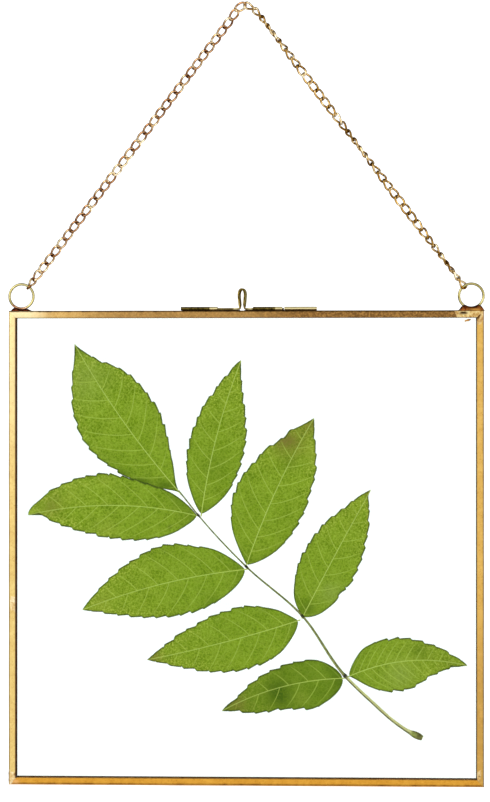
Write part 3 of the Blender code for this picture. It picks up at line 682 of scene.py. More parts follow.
def chainSkin(word, sign):
    # curb links: each a wire swept round the closed line (a cos t, b sin t, c sin 2t), so that its two long
    # sides lie one over and one under its neighbours; the links follow the route end to end
    s = chainSet
    points, reach = chainRoute(word, sign)
    overlap = s["wire"] - 0.005
    pitch = (reach[-1] - overlap) / s["links"]
    k = np.arange(s["links"])
    place = pitch * (k + 0.5)
    centre, front, back = (np.stack([np.interp(d, reach, points[:, i]) for i in range(3)], axis=-1)
                           for d in (place, place + pitch / 2, place - pitch / 2))
    ahead = front - back
    ahead /= np.linalg.norm(ahead, axis=1)[:, None]
    across = np.cross((0.0, -sign, 0.0), ahead)
    across /= np.linalg.norm(across, axis=1)[:, None]
    through = np.cross(ahead, across)
    turn = np.radians(s["jitter"]) * np.sin(k * 2.4 + sign)
    if sign > 0:
        turn = turn + np.radians(s["twistStart"] + s["twistRate"] * place)
    turn[-2:] += np.radians(s["endTurn"][word])
    cos, sin = np.cos(turn)[:, None], np.sin(turn)[:, None]
    flat, up = across * cos + through * sin, through * cos - across * sin
    t = fullTurn(s["around"])
    line = np.stack([s["halfLength"] * np.cos(t), s["halfWidth"] * np.sin(t), s["twist"] * np.sin(2 * t)],
                    axis=-1)
    direction = headings(line, closed=True)
    lift = np.array([0.0, 0.0, 1.0]) - direction[:, 2:] * direction
    lift /= np.linalg.norm(lift, axis=1)[:, None]
    beside = np.cross(direction, lift)
    round_ = fullTurn(s["sides"])[None, :, None]
    local = line[:, None] + s["wire"] * (np.cos(round_) * lift[:, None] + np.sin(round_) * beside[:, None])
    links = (centre[:, None, None] + local[None, ..., :1] * ahead[:, None, None]
             + local[None, ..., 1:2] * flat[:, None, None] + local[None, ..., 2:] * up[:, None, None])
    starts = (k * s["around"] * s["sides"])[:, None, None]
    quads = (gridFaces(s["around"], s["sides"], True)[None] + starts).reshape(-1, 4)
    # darker towards each link's ends, where the links meet
    ends = np.abs(np.cos(t)) ** 6
    patina = 0.15 + 0.55 * ends[None, :, None] + 0.25 * np.sin(k * 1.7 + sign)[:, None, None]
    # edgeShade is painted shade along the wire's sides
    edge = 0.85 * smoothStep((np.abs(np.sin(round_[..., 0])) - 0.45) / 0.45)
    shades = {"patinaShare": np.clip(patina, 0.0, 1.0),
              "paleShare": (0.3 + 0.3 * np.sin(k * 2.9))[:, None, None], "edgeShade": edge[None]}
    return outward(links.reshape(-1, 3), quads, np.zeros((0, 3), int)), {
        name: np.broadcast_to(shade, links.shape[:3]).reshape(-1) for name, shade in shades.items()}


def buildChain():
    for word, sign in (("left", -1), ("right", 1)):
        wire = brassMaterial("drawnBrassChain" + word.capitalize(), chainTints[word], wornRough=0.22,
                             mottle=1.0, grain=0.008, graze="#6A4820")
        makePiece("chain" + word.capitalize(), chainSkin(word, sign), wire, "front_half", [f"chain_{word}"])
    print("chain built")


latchSet = {
    "height": 100.9,                       # middle of the bolt, above the frame's middle
    "halfTall": 0.7, "halfDeep": 2.3, "wall": 0.2,
    "rim": 0.05,                           # rounding of a sleeve's ends
    "bolt": (-16.7, 16.1), "thick": 0.66, "deep": 2.8, "armDrop": 0.1,
    "patches": ((-5.2, -2.7), (0.45, 2.8)), "tip": 0.9,    # the arms' bare stretches, length of the dark tip
    "slide": {"left": -2.2, "right": -0.7}, "slideGap": 0.03,      # how far the solder under the arms reaches
    "handle": -1.45, "handleTop": 109.5, "handleWidest": 106.7, "halfWidth": 1.35, "neck": 0.95, "foot": 0.5,
    "turn": 16.0, "turnHeight": 2.0,       # the loop's turn in degrees, complete this far above the arms
    "paleEnd": {"left": 3.5, "right": 3.2, "keeper": 99.0},          # bright stretch at a sleeve's right end
    "beadDepth": (0.45, 1.9), "beadSink": 0.05,
}


def sleeveSkin(word, x0, x1):
    # flattened tube along the edge: a rounded slot outline outside, its inset inside, and turned-in rims
    s = latchSet
    angle, rim = fullTurn(56), s["rim"]
    straight = s["halfDeep"] - s["halfTall"]
    cos, sin = np.cos(angle), np.sin(angle)
    centre = np.sign(cos) * straight * (np.abs(cos) > 0.02)
    length = np.linspace(x0 + rim, x1 - rim, 40)
    outerSpan = np.concatenate([[x0], [x0 + rim / 3], length, [x1 - rim / 3], [x1]])
    drop = np.concatenate([[rim], [rim / 3], 0 * length, [rim / 3], [rim]])
    span = np.concatenate([outerSpan, outerSpan[::-1]])
    inset = np.concatenate([drop, s["wall"] - drop[::-1]])
    dent = 0.03 * np.sin(span * 1.3 + x0)[:, None] * sin[None, :] * np.abs(cos)[None, :]
    y = centre[None, :] + cos[None, :] * (s["halfTall"] - inset[:, None])
    z = sin[None, :] * (s["halfTall"] - inset[:, None] + dent) + s["height"]
    dark = (1 - smoothStep((span - (x1 - s["paleEnd"][word])) / 0.5)) * (0.08 if word == "keeper" else 1.0)
    within = np.arange(len(span)) >= len(outerSpan)
    # painted shade along the top of the sleeve (edgeShade) and inside it (innerShade)
    shades = {"patinaShare": dark[:, None], "paleShare": 0.7 * (1 - dark[:, None]), "solderReach": noSolder,
              "innerShade": within.astype(float)[:, None],
              "edgeShade": 0.85 * smoothStep((sin - 0.6) / 0.3)[None, :]}
    return tube(placed(span[:, None], y, z), shades, True)


def beadSkin(word, x0, x1, facing):
    # solder bead that holds a sleeve to its own rail, run on under the bolt's arm: a flat lens section with
    # an uneven edge
    s = latchSet
    start, stop = {"left": (x0 + 0.4, s["slide"]["left"]), "right": (s["slide"]["right"], x1 + 1.2),
                   "keeper": (x0 - 0.7, x1 - 0.4)}[word]
    span = np.linspace(start, stop, 80)
    near, far = s["beadDepth"]
    angle = fullTurn(14)
    taper = np.sqrt(np.clip(1 - ((span - span.mean()) / (span[-1] - span.mean())) ** 8, 0.02, 1.0))
    uneven = taper * (1 + 0.12 * np.sin(span * 2.3) + 0.07 * np.sin(span * 5.1))
    y = facing * ((near + far) / 2 + (far - near) / 2 * np.cos(angle)[None, :] * uneven[:, None])
    low = halfSide - s["beadSink"]
    high = np.where((span > x0) & (span < x1), s["height"] - s["halfTall"] + s["beadSink"],
                    s["height"] - s["armDrop"] - s["thick"] / 2 - s["slideGap"])[:, None]
    z = (low + high) / 2 + (high - low) / 2 * np.sin(angle)[None, :] * taper[:, None]
    shades = {"paleShare": 0.7, "solderReach": noSolder} if word == "keeper" else {"solderReach": 6.0}
    return tube(placed(span[:, None], y, z), shades)


def boltSkin():
    # flat strip with rounded edges carried along arm, bent foot, pear-shaped loop, bent foot and arm
    s = latchSet
    arm = s["height"] - s["armDrop"]
    foot = np.linspace(-math.pi / 2, -math.pi, 12)
    footLine = np.stack([s["neck"] + s["foot"] * (1 + np.cos(foot)), arm + s["foot"] * (1 + np.sin(foot))],
                        axis=1)
    share = np.linspace(0.0, 1.0, 14)[1:-1]
    legLow = arm + s["foot"]
    leg = np.stack([s["neck"] + (s["halfWidth"] - s["neck"]) * smoothStep(share),
                    legLow + (s["handleWidest"] - legLow) * share], axis=1)
    over = np.linspace(0.0, math.pi / 2, 14)
    rise = s["handleTop"] - s["thick"] / 2 - s["handleWidest"]
    head = np.stack([s["halfWidth"] * np.cos(over), s["handleWidest"] + rise * np.sin(over)], axis=1)
    right = np.concatenate([footLine, leg, head])
    left = right[:-1] * (-1, 1)
    armStart, armEnd = (end - s["handle"] for end in s["bolt"])
    armLeft = np.stack([np.linspace(armStart, left[0, 0], 16)[:-1], np.full(15, arm)], axis=1)
    armRight = np.stack([np.linspace(right[0, 0], armEnd, 16)[1:], np.full(15, arm)], axis=1)
    path = np.concatenate([armLeft, left, right[::-1], armRight])
    ahead = headings(path)
    normal = np.stack([-ahead[:, 1], ahead[:, 0]], axis=1)
    half, deep = s["thick"] / 2, s["deep"] / 2
    corners = ((-half, -deep), (half, -deep), (half, deep), (-half, deep))
    section = roundedOutline([(*corner, 0.1) for corner in corners], 4, 0.3)
    flat = path[:, None] + normal[:, None] * section[None, :, :1]
    depth = section[None, :, 1]
    rise = smoothStep((path[:, 1] - arm) / s["turnHeight"])[:, None]
    turn = math.radians(s["turn"]) * rise
    x = s["handle"] + flat[..., 0] * np.cos(turn) + depth * np.sin(turn)
    y = depth * np.cos(turn) - flat[..., 0] * np.sin(turn)
    # painted shade on the loop's front edge and on the arms' top and tip, a painted highlight on the loop's
    # broad faces, and pale bare patches on the arms beside it
    front = smoothStep((0.4 - deep - depth) / 0.15)
    upper = smoothStep((section[None, :, 0] - 0.02) / 0.2)
    bare = sum(smoothStep((x - first) / 0.4) * smoothStep((last - x) / 0.4) for first, last in s["patches"])
    bare = bare * (1 - rise)
    tip = smoothStep((x - s["bolt"][1] + s["tip"]) / 0.2)
    edge = front * (1.5 * rise + (1 - rise) * upper * (1 - 0.7 * bare))
    return tube(placed(x, y, flat[..., 1]), {
        "edgeShade": np.maximum(edge, tip), "paleShare": np.maximum(0.9 * rise * (1 - front), 0.8 * bare),
        "patinaShare": 0.6 * (1 - rise) * (1 - bare) + 0.1})


def buildLatch():
    brass = brassMaterial("rolledBrassLatch", dict(
        face="#C9B06A", deep="#A98F4C", light="#E4D197", pale="#E6DCA8", oxide="#5A4E20",
        oxideDark="#3A3010", oxideLight="#7C6C34", inner="#2A2110", edge="#42360F", solderDeep="#4A3A1A",
        solder="#6E5C2C", solderLight="#8A7A40"), wornRough=0.3, mottle=1.0, grain=0.008, graze="#6A5C30")
    for word, node in (("left", "sleeve_left"), ("right", "sleeve_right"), ("keeper", "keeper_sleeve")):
        low, high = boxOf(node)
        x0, x1 = low[0] - middle[0], high[0] - middle[0]
        facing = 1 if word == "keeper" else -1
        first, second = node.split("_")
        both = joined(sleeveSkin(word, x0, x1), beadSkin(word, x0, x1, facing))
        makePiece(first + second.capitalize(), both, brass, "back_half" if facing > 0 else "front_half",
                  [node])
    makePiece("latchBolt", boltSkin(), brass, "bolt", ["latch_bolt"])
    print("latch built")


hingeSet = {"radius": 0.65, "bore": 0.42, "pin": 0.25, "length": 2.6, "gap": 0.2, "rim": 0.07, "sides": 32,
            "pinSides": 20, "domeHeight": 0.2}


def turnedSkin(profile, sides, x, patina, closeRows=False):
    # profile of (along, radius) turned round the hinge's axis, which is along X
    angle = fullTurn(sides)[None, :]
    along, radius = np.array(profile).T[:, :, None]
    height = railSet["hingeLift"] - halfSide
    rings = placed(x + along, radius * np.cos(angle), height + radius * np.sin(angle))
    return tube(rings, {"patinaShare": patina}, closeRows)


def buildHinges():
    brass = brassMaterial("rolledBrassHinge", {}, wornRough=0.3, mottle=0.8, grain=0.006)
    s = hingeSet
    half, rim, top = s["length"] / 2, s["rim"], s["domeHeight"]
    barrel = [(-half + rim, s["radius"]), (-half + rim * 0.3, s["radius"] - rim * 0.3),
              (-half, s["radius"] - rim), (-half, s["bore"] + rim), (-half + rim, s["bore"])]
    barrel = barrel[::-1] + [(0.0, s["radius"])] + [(-a, r) for a, r in barrel] + [(0.0, s["bore"])]
    reach = 1.5 * s["length"] + s["gap"]
    dome = [(math.sin(a) * top, s["pin"] * math.cos(a)) for a in np.linspace(0.0, math.pi / 2 - 0.15, 6)]
    pin = [(-reach + top - a, r) for a, r in dome[::-1]] + [(reach - top + a, r) for a, r in dome]
    for word, sign in (("left", -1), ("right", 1)):
        name, x = "hinge" + word.capitalize(), sign * railSet["hingeSpread"]
        for place, step in (("outer", sign), ("middle", 0), ("inner", -sign)):
            knuckle = turnedSkin(barrel, s["sides"], x + step * (s["length"] + s["gap"]), 0.35, True)
            makePiece(name + "Knuckle" + place.capitalize(), knuckle, brass,
                      "front_half" if step else "back_half", [f"hinge_{word}_knuckle_{place}"])
        makePiece(name + "Pin", turnedSkin(pin, s["pinSides"], x, 0.5), brass, "front_half",
                  [f"hinge_{word}_pin"])
    print("hinges built")


leafSet = {
    "place": (0.0, -0.5), "rows": 230, "columns": 25,
    "toothReach": 0.8, "toothSpan": (0.16, 0.955), "toothPoint": 0.86, "toothBow": 0.85,
    "thick": 0.24, "thin": 0.1, "wave": 0.07, "quilt": 0.04, "veinRise": 0.05,
    "narrowest": 0.05,                     # half-width that the blade keeps at its ends
    "veinsPerTooth": 0.8, "veinCrowd": 0.8,          # side veins, a little closer together near the base
    "veinLean": 0.5, "veinBend": 0.42,     # forward run of a side vein: straight part, and bend to the tip
    "veinStart": (0.3, 0.75),              # where the first vein stands on the left and on the right
    "ribWide": 0.24, "ribThin": 0.08,
    "ribHold": 0.72,                       # share of the half-width that the midrib may bow out to
}
# Each leaflet: base and tip, teeth, how far the midrib bows to the left, left and right margins, marks, and
# where they aren't the usual ones its layer towards the back, the lean of its side veins and their number.
# A margin is its half-width, the two powers of its width curve, and then places that stand out or in (share
# of the length, reach as a share, mm out). A mark is (kind, share of the length, share of the half-width
# with left positive, radius, strength); a sheen mark is a painted highlight, and some dark marks are painted
# shadow where leaflets overlap.
leaflets = {
    "End": {
        "base": (-27.9, 23.8), "tip": (-72.6, 86.8), "teeth": 12, "bow": 2.1, "layer": 0.3,
        "left": (21.2, 1.25, 1.15, (0.93, 0.05, -0.7), (0.8, 0.1, -0.6), (0.62, 0.1, -0.4), (0.2, 0.12, 1.4),
                 (0.08, 0.05, 0.9)),
        "right": (13.4, 1.65, 1.6, (0.71, 0.1, 1.3), (0.41, 0.1, 0.4), (0.255, 0.08, 0.3), (0.13, 0.06, 0.5)),
        # the sheen mark is a painted highlight; the dark marks at 0.08 to 0.37 near the left margin are
        # painted shadow where 1Left lies in front
        "marks": [("sheen", 0.8, 0.35, 9.0, 0.4), ("dark", 0.975, 0.0, 3.5, 0.9),
                  ("dark", 0.08, 0.6, 3.0, 0.6), ("dark", 0.17, 0.95, 3.0, 0.8),
                  ("dark", 0.27, 0.98, 3.0, 0.7), ("dark", 0.37, 1.02, 2.5, 0.45),
                  ("dark", 0.75, -0.25, 4.0, 0.2), ("pale", 0.3, -0.6, 3.0, 0.4)]},
    "1Left": {
        "base": (-20.6, 14.1), "tip": (-92.3, 14.2), "teeth": 11, "bow": -4.2, "layer": -0.3, "lean": 0.9,
        "left": (10.9, 0.7, 1.2, (0.065, 0.06, -0.7), (0.165, 0.07, -0.4), (0.93, 0.06, -1.6)),
        "right": (17.1, 0.8, 0.65, (0.93, 0.05, -1.3), (0.81, 0.06, -0.3), (0.545, 0.12, 1.0),
                  (0.14, 0.08, 0.4)),
        "marks": [("brown", 0.86, -0.35, 4.5, 0.45), ("dark", 0.16, 0.6, 1.0, 0.95),
                  ("pale", 0.52, 0.55, 4.0, 0.45), ("pale", 0.545, -0.85, 3.0, 0.4),
                  ("pale", 0.75, -0.6, 5.0, 0.35), ("pale", 0.97, 0.0, 4.0, 0.7),
                  # the last dark mark, on the upper margin near the base, is painted shade where the end
                  # leaflet overlaps
                  ("dark", 0.12, -0.9, 4.0, 0.5)]},
    "1Right": {
        "base": (-18.7, 14.8), "tip": (-1.85, 79.75), "teeth": 11, "bow": 2.0,
        "left": (12.7, 0.8, 0.9, (0.89, 0.06, -0.5), (0.77, 0.08, -0.6), (0.36, 0.12, 0.7),
                 (0.21, 0.08, 0.5)),
        "right": (11.3, 0.85, 1.35, (0.555, 0.12, 0.4)),
        "marks": [("dark", 0.3, 0.0, 7.0, 0.25), ("dark", 0.96, 0.0, 2.5, 0.5)]},
    "2Left": {
        "base": (-0.3, -8.6), "tip": (-69.2, -25.9), "teeth": 11, "bow": -2.5,
        "left": (12.7, 0.7, 1.1, (0.15, 0.1, -0.5)),
        "right": (17.6, 0.85, 1.0, (0.43, 0.13, 1.2), (0.14, 0.08, 0.7)),
        "marks": [("pale", 0.88, -0.2, 4.5, 0.55), ("dark", 0.23, 0.85, 3.0, 0.4)]},
    "2Right": {
        "base": (0.4, -6.6), "tip": (28.9, 55.4), "teeth": 11, "bow": 1.8,
        "left": (18.1, 0.95, 1.15, (0.82, 0.08, -0.6), (0.59, 0.1, -0.8), (0.3, 0.1, 0.6), (0.16, 0.08, 0.6),
                 (0.87, 0.04, 1.2)),
        "right": (13.2, 0.8, 1.1, (0.77, 0.1, 0.7), (0.69, 0.06, 0.6)),
        "marks": [("brown", 0.785, 0.45, 6.0, 0.55), ("brown", 0.8, 0.8, 4.0, 0.5),
                  ("brown", 0.93, 0.3, 4.0, 0.4), ("brown", 0.97, 0.0, 3.0, 0.4),
                  ("pale", 0.8, -0.6, 4.0, 0.5), ("dark", 0.68, 0.1, 3.0, 0.4)]},
    "3Left": {
        "base": (22.1, -30.1), "tip": (-41.8, -46.9), "teeth": 10, "bow": 1.0,
        "left": (14.8, 0.7, 1.1, (0.07, 0.06, -0.4)),
        "right": (11.9, 0.9, 1.1, (0.275, 0.12, 1.2), (0.65, 0.1, -0.6), (0.107, 0.06, 0.7)),
        "marks": [("brown", 0.96, 0.0, 4.0, 0.6)]},
    "3Right": {
        "base": (24.1, -28.4), "tip": (52.8, 25.2), "teeth": 10, "bow": 0.3,
        "left": (13.3, 0.75, 1.0, (0.76, 0.1, -0.6), (0.5, 0.1, -0.5), (0.08, 0.06, 0.6)),
        "right": (11.6, 0.65, 1.0, (0.945, 0.04, -1.3), (0.87, 0.04, -0.4), (0.26, 0.06, -1.0),
                  (0.145, 0.06, -0.5)),
        # the sheen mark is a painted highlight
        "marks": [("sheen", 0.236, -0.6, 5.0, 0.5), ("dark", 0.28, -0.97, 1.2, 0.9),
                  ("dark", 0.08, 0.0, 3.0, 0.5), ("brown", 0.97, -0.1, 2.0, 0.5)]},
    "4Left": {
        "base": (40.9, -54.3), "tip": (-10.2, -68.4), "teeth": 8, "bow": -3.2,
        "left": (8.9, 0.6, 1.15, (0.52, 0.12, -1.5), (0.79, 0.06, 0.3), (0.28, 0.08, 0.6)),
        "right": (12.3, 0.6, 0.95, (0.86, 0.08, -0.8), (0.17, 0.1, 0.5)),
        "marks": [("dark", 0.5, 0.0, 60.0, 0.45), ("dark", 0.52, 0.1, 5.0, 0.5),
                  ("dark", 0.52, -0.3, 4.0, 0.3), ("brown", 0.87, -0.2, 4.0, 0.6),
                  ("dark", 0.97, 0.1, 2.5, 0.6), ("pale", 0.36, 0.4, 3.5, 0.35)]},
    "4Right": {
        "base": (43.5, -53.5), "tip": (93.3, -48.8), "teeth": 8, "bow": 4.3, "veins": 12.0,
        "left": (14.4, 0.65, 0.9, (0.13, 0.07, 0.9), (0.26, 0.1, 0.6), (0.44, 0.1, 0.4)),
        "right": (8.6, 1.3, 2.0, (0.68, 0.1, -1.2), (0.82, 0.07, -0.7)),
        # the sheen mark is a painted highlight
        "marks": [("sheen", 0.43, -0.1, 6.0, 0.5), ("pale", 0.5, 0.0, 40.0, 0.15),
                  ("dark", 0.62, 0.6, 4.0, 0.45), ("dark", 0.87, 0.2, 4.0, 0.35)]},
}


def halfWidth(t, leaf, side):
    # margin: width t^rise (1-t)^fall, scaled to peak at width, pushed out or in at its own places, then cut
    # by teeth that lean to the tip; gives the plain margin, the toothed one, and how near each place is to a
    # tooth's point
    width, rise, fall, *pushes = leaf[side]
    peak = rise / (rise + fall)
    plain = width * t ** rise * (1 - t) ** fall / (peak ** rise * (1 - peak) ** fall)
    for share, reach, push in pushes:
        plain = plain + push * bell((t - share) / reach)
    first, last = leafSet["toothSpan"]
    step = (t - first) / (last - first) * leaf["teeth"]
    part = step - np.floor(step)
    point = leafSet["toothPoint"]
    cut = np.maximum(1 - part / point, 0.0) ** leafSet["toothBow"]
    notch = np.where(part < point, cut, (part - point) / (1 - point))
    grown = np.clip(step / 2, 0.0, 1.0) * np.clip(6.5 * (1 - t), 0.0, 1.0) * (step > 0) * (t < last)
    uneven = 1 + 0.35 * np.sin(np.floor(step) * 2.6 + width)
    return plain, plain - leafSet["toothReach"] * notch * grown * uneven, grown * (1 - notch) ** 4


def midribAt(leaf, t, plainLeft, plainRight):
    # how far the midrib bows to the left, held inside the margins
    hold = leafSet["ribHold"]
    return np.clip(leaf["bow"] * 4 * t * (1 - t), -hold * plainRight, hold * plainLeft)


def sheetWave(leaf, along, offset):
    # slow wave of a dried blade
    return leafSet["wave"] * np.sin(along / 9.0 + leaf["base"][0]) * np.sin(offset / 5.0 + leaf["base"][1])


def leafletSkin(leaf):
    # blade: grid of shares along (t) and across (v), front and back layers joined round the margin, lifted by
    # a slow wave, the quilting between side veins and the veins themselves; the midrib is a tapering rod
    s = leafSet
    layer = leaf.get("layer", 0.0)
    base, tip = (np.array(leaf[word]) + s["place"] for word in ("base", "tip"))
    chord = tip - base
    length = np.linalg.norm(chord)
    ahead = chord / length
    side = np.array([-ahead[1], ahead[0]])
    rows = np.linspace(0.0, 1.0, s["rows"])
    t = (0.004 + 0.992 * (rows - 0.012 * np.sin(2 * math.pi * rows)))[:, None]
    v = np.linspace(-1.0, 1.0, 2 * s["columns"] + 1)
    v = (np.sign(v) * (1 - (1 - np.abs(v)) ** 1.25))[None, :]
    onLeft = v > 0
    plainLeft, left, pointLeft = halfWidth(t, leaf, "left")
    plainRight, right, pointRight = halfWidth(t, leaf, "right")
    rib = midribAt(leaf, t, plainLeft, plainRight)
    # the teeth only move the outer quarter of the blade
    hold = smoothStep((np.abs(v) - 0.75) / 0.25)
    leftEdge = np.maximum(plainLeft + (left - plainLeft) * hold, s["narrowest"])
    rightEdge = np.maximum(plainRight + (right - plainRight) * hold, s["narrowest"])
    offset = np.where(onLeft, rib + v * (leftEdge - rib), rib + v * (rightEdge + rib))
    along = t * length + 0 * v
    across = offset - rib
    edge = np.where(onLeft, left - offset, offset + right)
    near = np.abs(across)
    # side veins stand where the phase is whole; veinGap is millimetres, square to a vein, for one whole step
    widest = np.where(onLeft, leaf["left"][0], leaf["right"][0])
    lean, bend = leaf.get("lean", s["veinLean"]), s["veinBend"] / widest
    run = np.maximum(along - lean * near - bend * near ** 2, 0.01) / length
    veins, crowd = leaf.get("veins", s["veinsPerTooth"] * leaf["teeth"]), s["veinCrowd"]
    veinLeft, veinRight = (veins * run ** crowd + start for start in s["veinStart"])
    own = np.where(onLeft, veinLeft, veinRight)
    veinGap = length * run ** (1 - crowd) / (veins * crowd * np.hypot(1.0, lean + 2 * bend * near))
    fromVein = np.abs(own - np.round(own)) * veinGap
    quilt = s["quilt"] * np.cos(2 * math.pi * own) * smoothStep(edge / 4.0) * smoothStep(near / 2.0)
    vein = s["veinRise"] * bell(fromVein / 0.3) * smoothStep(edge / 2.0)
    sheet = layer + sheetWave(leaf, along, offset) + quilt
    half = (s["thin"] + (s["thick"] - s["thin"]) * smoothStep(edge / 3.0)) / 2
    x, z = (base[i] + ahead[i] * along + side[i] * offset for i in range(2))
    front, back = (placed(x, depth, z) for depth in (sheet - half - vein, sheet + half + vein * 0.8))
    shades = {kind + "Mark": 0 * along for kind in ("brown", "dark", "pale", "sheen")}
    for kind, atT, atV, radius, strength in leaf["marks"]:
        gone = np.hypot(along - atT * length, offset - atV * (plainLeft if atV > 0 else plainRight))
        shades[kind + "Mark"] = shades[kind + "Mark"] + strength * bell(gone / radius)
    shades["darkMark"] = shades["darkMark"] + 0.45 * bell(along / 5.0)
    fleck = smoothStep((t - 0.3) / 0.5) * (0.35 + 0.65 * smoothStep(1 - edge / 6.0))
    tooth = np.where(onLeft, pointLeft, pointRight) * smoothStep((0.9 - edge) / 0.7)
    shades.update(acrossMm=across, marginMm=edge, veinGap=veinGap, fleckShare=fleck, toothShade=tooth,
                  veinLeft=veinLeft, veinRight=veinRight)
    blade = tube(np.concatenate([front, back[:, ::-1]], axis=1),
                 {word: np.concatenate([shade, shade[:, ::-1]], axis=1) for word, shade in shades.items()})

    ribT = np.linspace(-0.015, 0.985, 90)
    held = np.clip(ribT, 0.004, 0.996)
    bow = midribAt(leaf, ribT, halfWidth(held, leaf, "left")[0], halfWidth(held, leaf, "right")[0])
    ribX, ribZ = (base[i] + ahead[i] * ribT * length + side[i] * bow for i in range(2))
    thick = s["ribThin"] + (s["ribWide"] - s["ribThin"]) * (1 - np.clip(ribT, 0, 1)) ** 0.8
    settle = smoothStep((ribT + 0.015) / 0.12)
    centre = placed(ribX, layer * settle + sheetWave(leaf, ribT * length, bow) * settle, ribZ)
    sideways = np.cross(headings(centre), (0.0, 1.0, 0.0))
    sideways /= np.linalg.norm(sideways, axis=1)[:, None]
    angle = fullTurn(12)[None, :, None]
    ribRings = (centre[:, None] + thick[:, None, None] * np.cos(angle) * sideways[:, None]
                + 0.8 * thick[:, None, None] * np.sin(angle) * np.array([0.0, 1.0, 0.0]))
    # the rib's first millimetres are green, and it lies clear of the margin's dark line
    paler = smoothStep((ribT * length - 0.8) / 2.5)[:, None]
    return joined(blade, tube(ribRings, {"marginMm": 20.0, "ribShare": paler}))


leafColours = {
    "blade": "#94B626", "bladeDeep": "#779A12", "bladeLight": "#AFCF3C", "vein": "#D2E660", "rib": "#DDEE74",
    "net": "#BDD648", "fleck": "#E6EC62", "margin": "#44561E", "brown": "#94823C", "dark": "#56780F",
    "pale": "#C0D24A", "sheen": "#B9CE62", "stalk": "#98A03E", "stalkDeep": "#6E7428", "stalkPale": "#FFFFAC",
    "stalkEnd": "#BECE5E", "stalkLine": "#66601C", "stalkJoint": "#1C1C04",
}


def pressedLeaf():
    # Pressed and dried leaf blade: matt, green kept by quick drying, with a grain of 0.7 mm, a net of small
    # veins 1.7 mm across, pale flecks towards the tip, thin bright side veins, and a dark line at the margin.
    c = leafColours
    material, add, shade = newMaterial("pressedLeafBlade")
    place = add("TexCoord", take="Object")
    read = {word: add("Attribute", choice=word, take="Fac")
            for word in ("acrossMm", "marginMm", "veinLeft", "veinRight", "veinGap", "fleckShare",
                         "toothShade", "brownMark", "darkMark", "paleMark", "sheenMark", "ribShare")}
    cloud = add("TexNoise", [place, 150.0, 5.0, 0.65])
    grain = add("TexNoise", [place, 1000 / 0.7, 3.0])
    tone = add("Mix", [0.55, cloud, grain])
    colour = add("ValToRGB", [tone],
                 ramp=[(0.36, c["bladeDeep"]), (0.5, c["blade"]), (0.64, c["bladeLight"])])
    # net of small veins, its cells pushed about by less than a millimetre
    push = add("VectorMath", [add("TexNoise", [place, 500.0], take="Color"), 0.0009], "SCALE")
    net = add("TexVoronoi", [add("VectorMath", [place, push], "ADD"), 1000 / 1.7], "DISTANCE_TO_EDGE")
    netLine = add("MapRange", [net, 0.02, 0.14, 0.4, 0.0])
    fleck = add("MapRange", [grain, 0.52, 0.62, 0.0, 0.75])
    flecks = add("Math", [fleck, read["fleckShare"]], "MULTIPLY")
    rim = add("MapRange", [read["marginMm"], 0.28, 0.85, 0.85, 0.0])
    # side veins: distance to the nearest whole phase, in millimetres
    onLeft = add("Math", [read["acrossMm"], 0.0], "GREATER_THAN")
    phase = add("Mix", [onLeft, read["veinRight"], read["veinLeft"]])
    gone = add("Math", [add("Math", [phase, 0.5], "PINGPONG"), read["veinGap"]], "MULTIPLY")
    sideVein = add("MapRange", [gone, 0.08, 0.27, 0.72, 0.0])
    fade = add("MapRange", [read["marginMm"], 0.3, 5.0, 0.15, 1.0])
    veinShare = add("Math", [sideVein, fade], "MULTIPLY")
    ribLine = add("MapRange", [add("Math", [read["acrossMm"]], "ABSOLUTE"), 0.08, 0.25, 0.78, 0.0])
    # everything that lies over the plain blade, in order; the marks are broken up by the grain, and among
    # them the sheen marks are a painted highlight and some dark marks painted shadow
    grainy = add("MapRange", [grain, 0.3, 0.6, 0.55, 1.0])
    marks = [(add("Math", [read[word + "Mark"], grainy], "MULTIPLY", clamp=True), word)
             for word in ("dark", "pale", "sheen", "brown")]
    for share, word in [(netLine, "net"), (flecks, "fleck"), *marks, (rim, "margin"),
                        (read["toothShade"], "margin"), (veinShare, "vein"), (ribLine, "rib"),
                        (read["ribShare"], "rib")]:
        colour = add("Mix", [share, colour, c[word]], "RGBA")
    relief = add("Mix", [0.5, grain, netLine])
    shade({"Base Color": colour, "Roughness": 0.7, "Specular IOR Level": 0.1,
           "Normal": add("Bump", {"Height": relief, "Strength": 0.7, "Distance": 0.05 * mm})})
    return material


stalkSet = {
    # points along the stalk from the end leaflet to the cut: across, up, half-width
    "points": [(-28.3, 24.6, 0.26), (-26.7, 22.6, 0.28), (-20.0, 14.2, 0.27), (0.3, -7.5, 0.33),
               (23.9, -28.2, 0.44), (41.8, -53.3, 0.62), (52.8, -63.9, 0.7), (64.1, -73.7, 0.72),
               (67.5, -76.0, 0.78), (69.3, -77.0, 1.0), (71.3, -78.0, 1.45), (72.9, -78.75, 1.4),
               (74.3, -79.4, 1.05)],
    "rows": 340, "sides": 20,
    "flat": 0.62,                          # greatest half-thickness
    "joints": (2, 3, 4, 5),                # which of the points carry a pair of leaflets
    "swell": 0.25, "swellReach": 0.85,
}


def smoothCurve(knots, samples):
    # cubic through the knots, its slope at each knot taken from the knots on either side
    reach = np.concatenate([[0.0], np.cumsum(np.linalg.norm(np.diff(knots[:, :2], axis=0), axis=1))])
    slopes = np.gradient(knots, reach, axis=0)
    places = samples * reach[-1]
    index = np.clip(np.searchsorted(reach, places, side="right") - 1, 0, len(reach) - 2)
    span = (reach[index + 1] - reach[index])[:, None]
    t = (places - reach[index])[:, None] / span
    return ((2 * t ** 3 - 3 * t ** 2 + 1) * knots[index] + (t ** 3 - 2 * t ** 2 + t) * span * slopes[index]
            + (3 * t ** 2 - 2 * t ** 3) * knots[index + 1] + (t ** 3 - t ** 2) * span * slopes[index + 1])


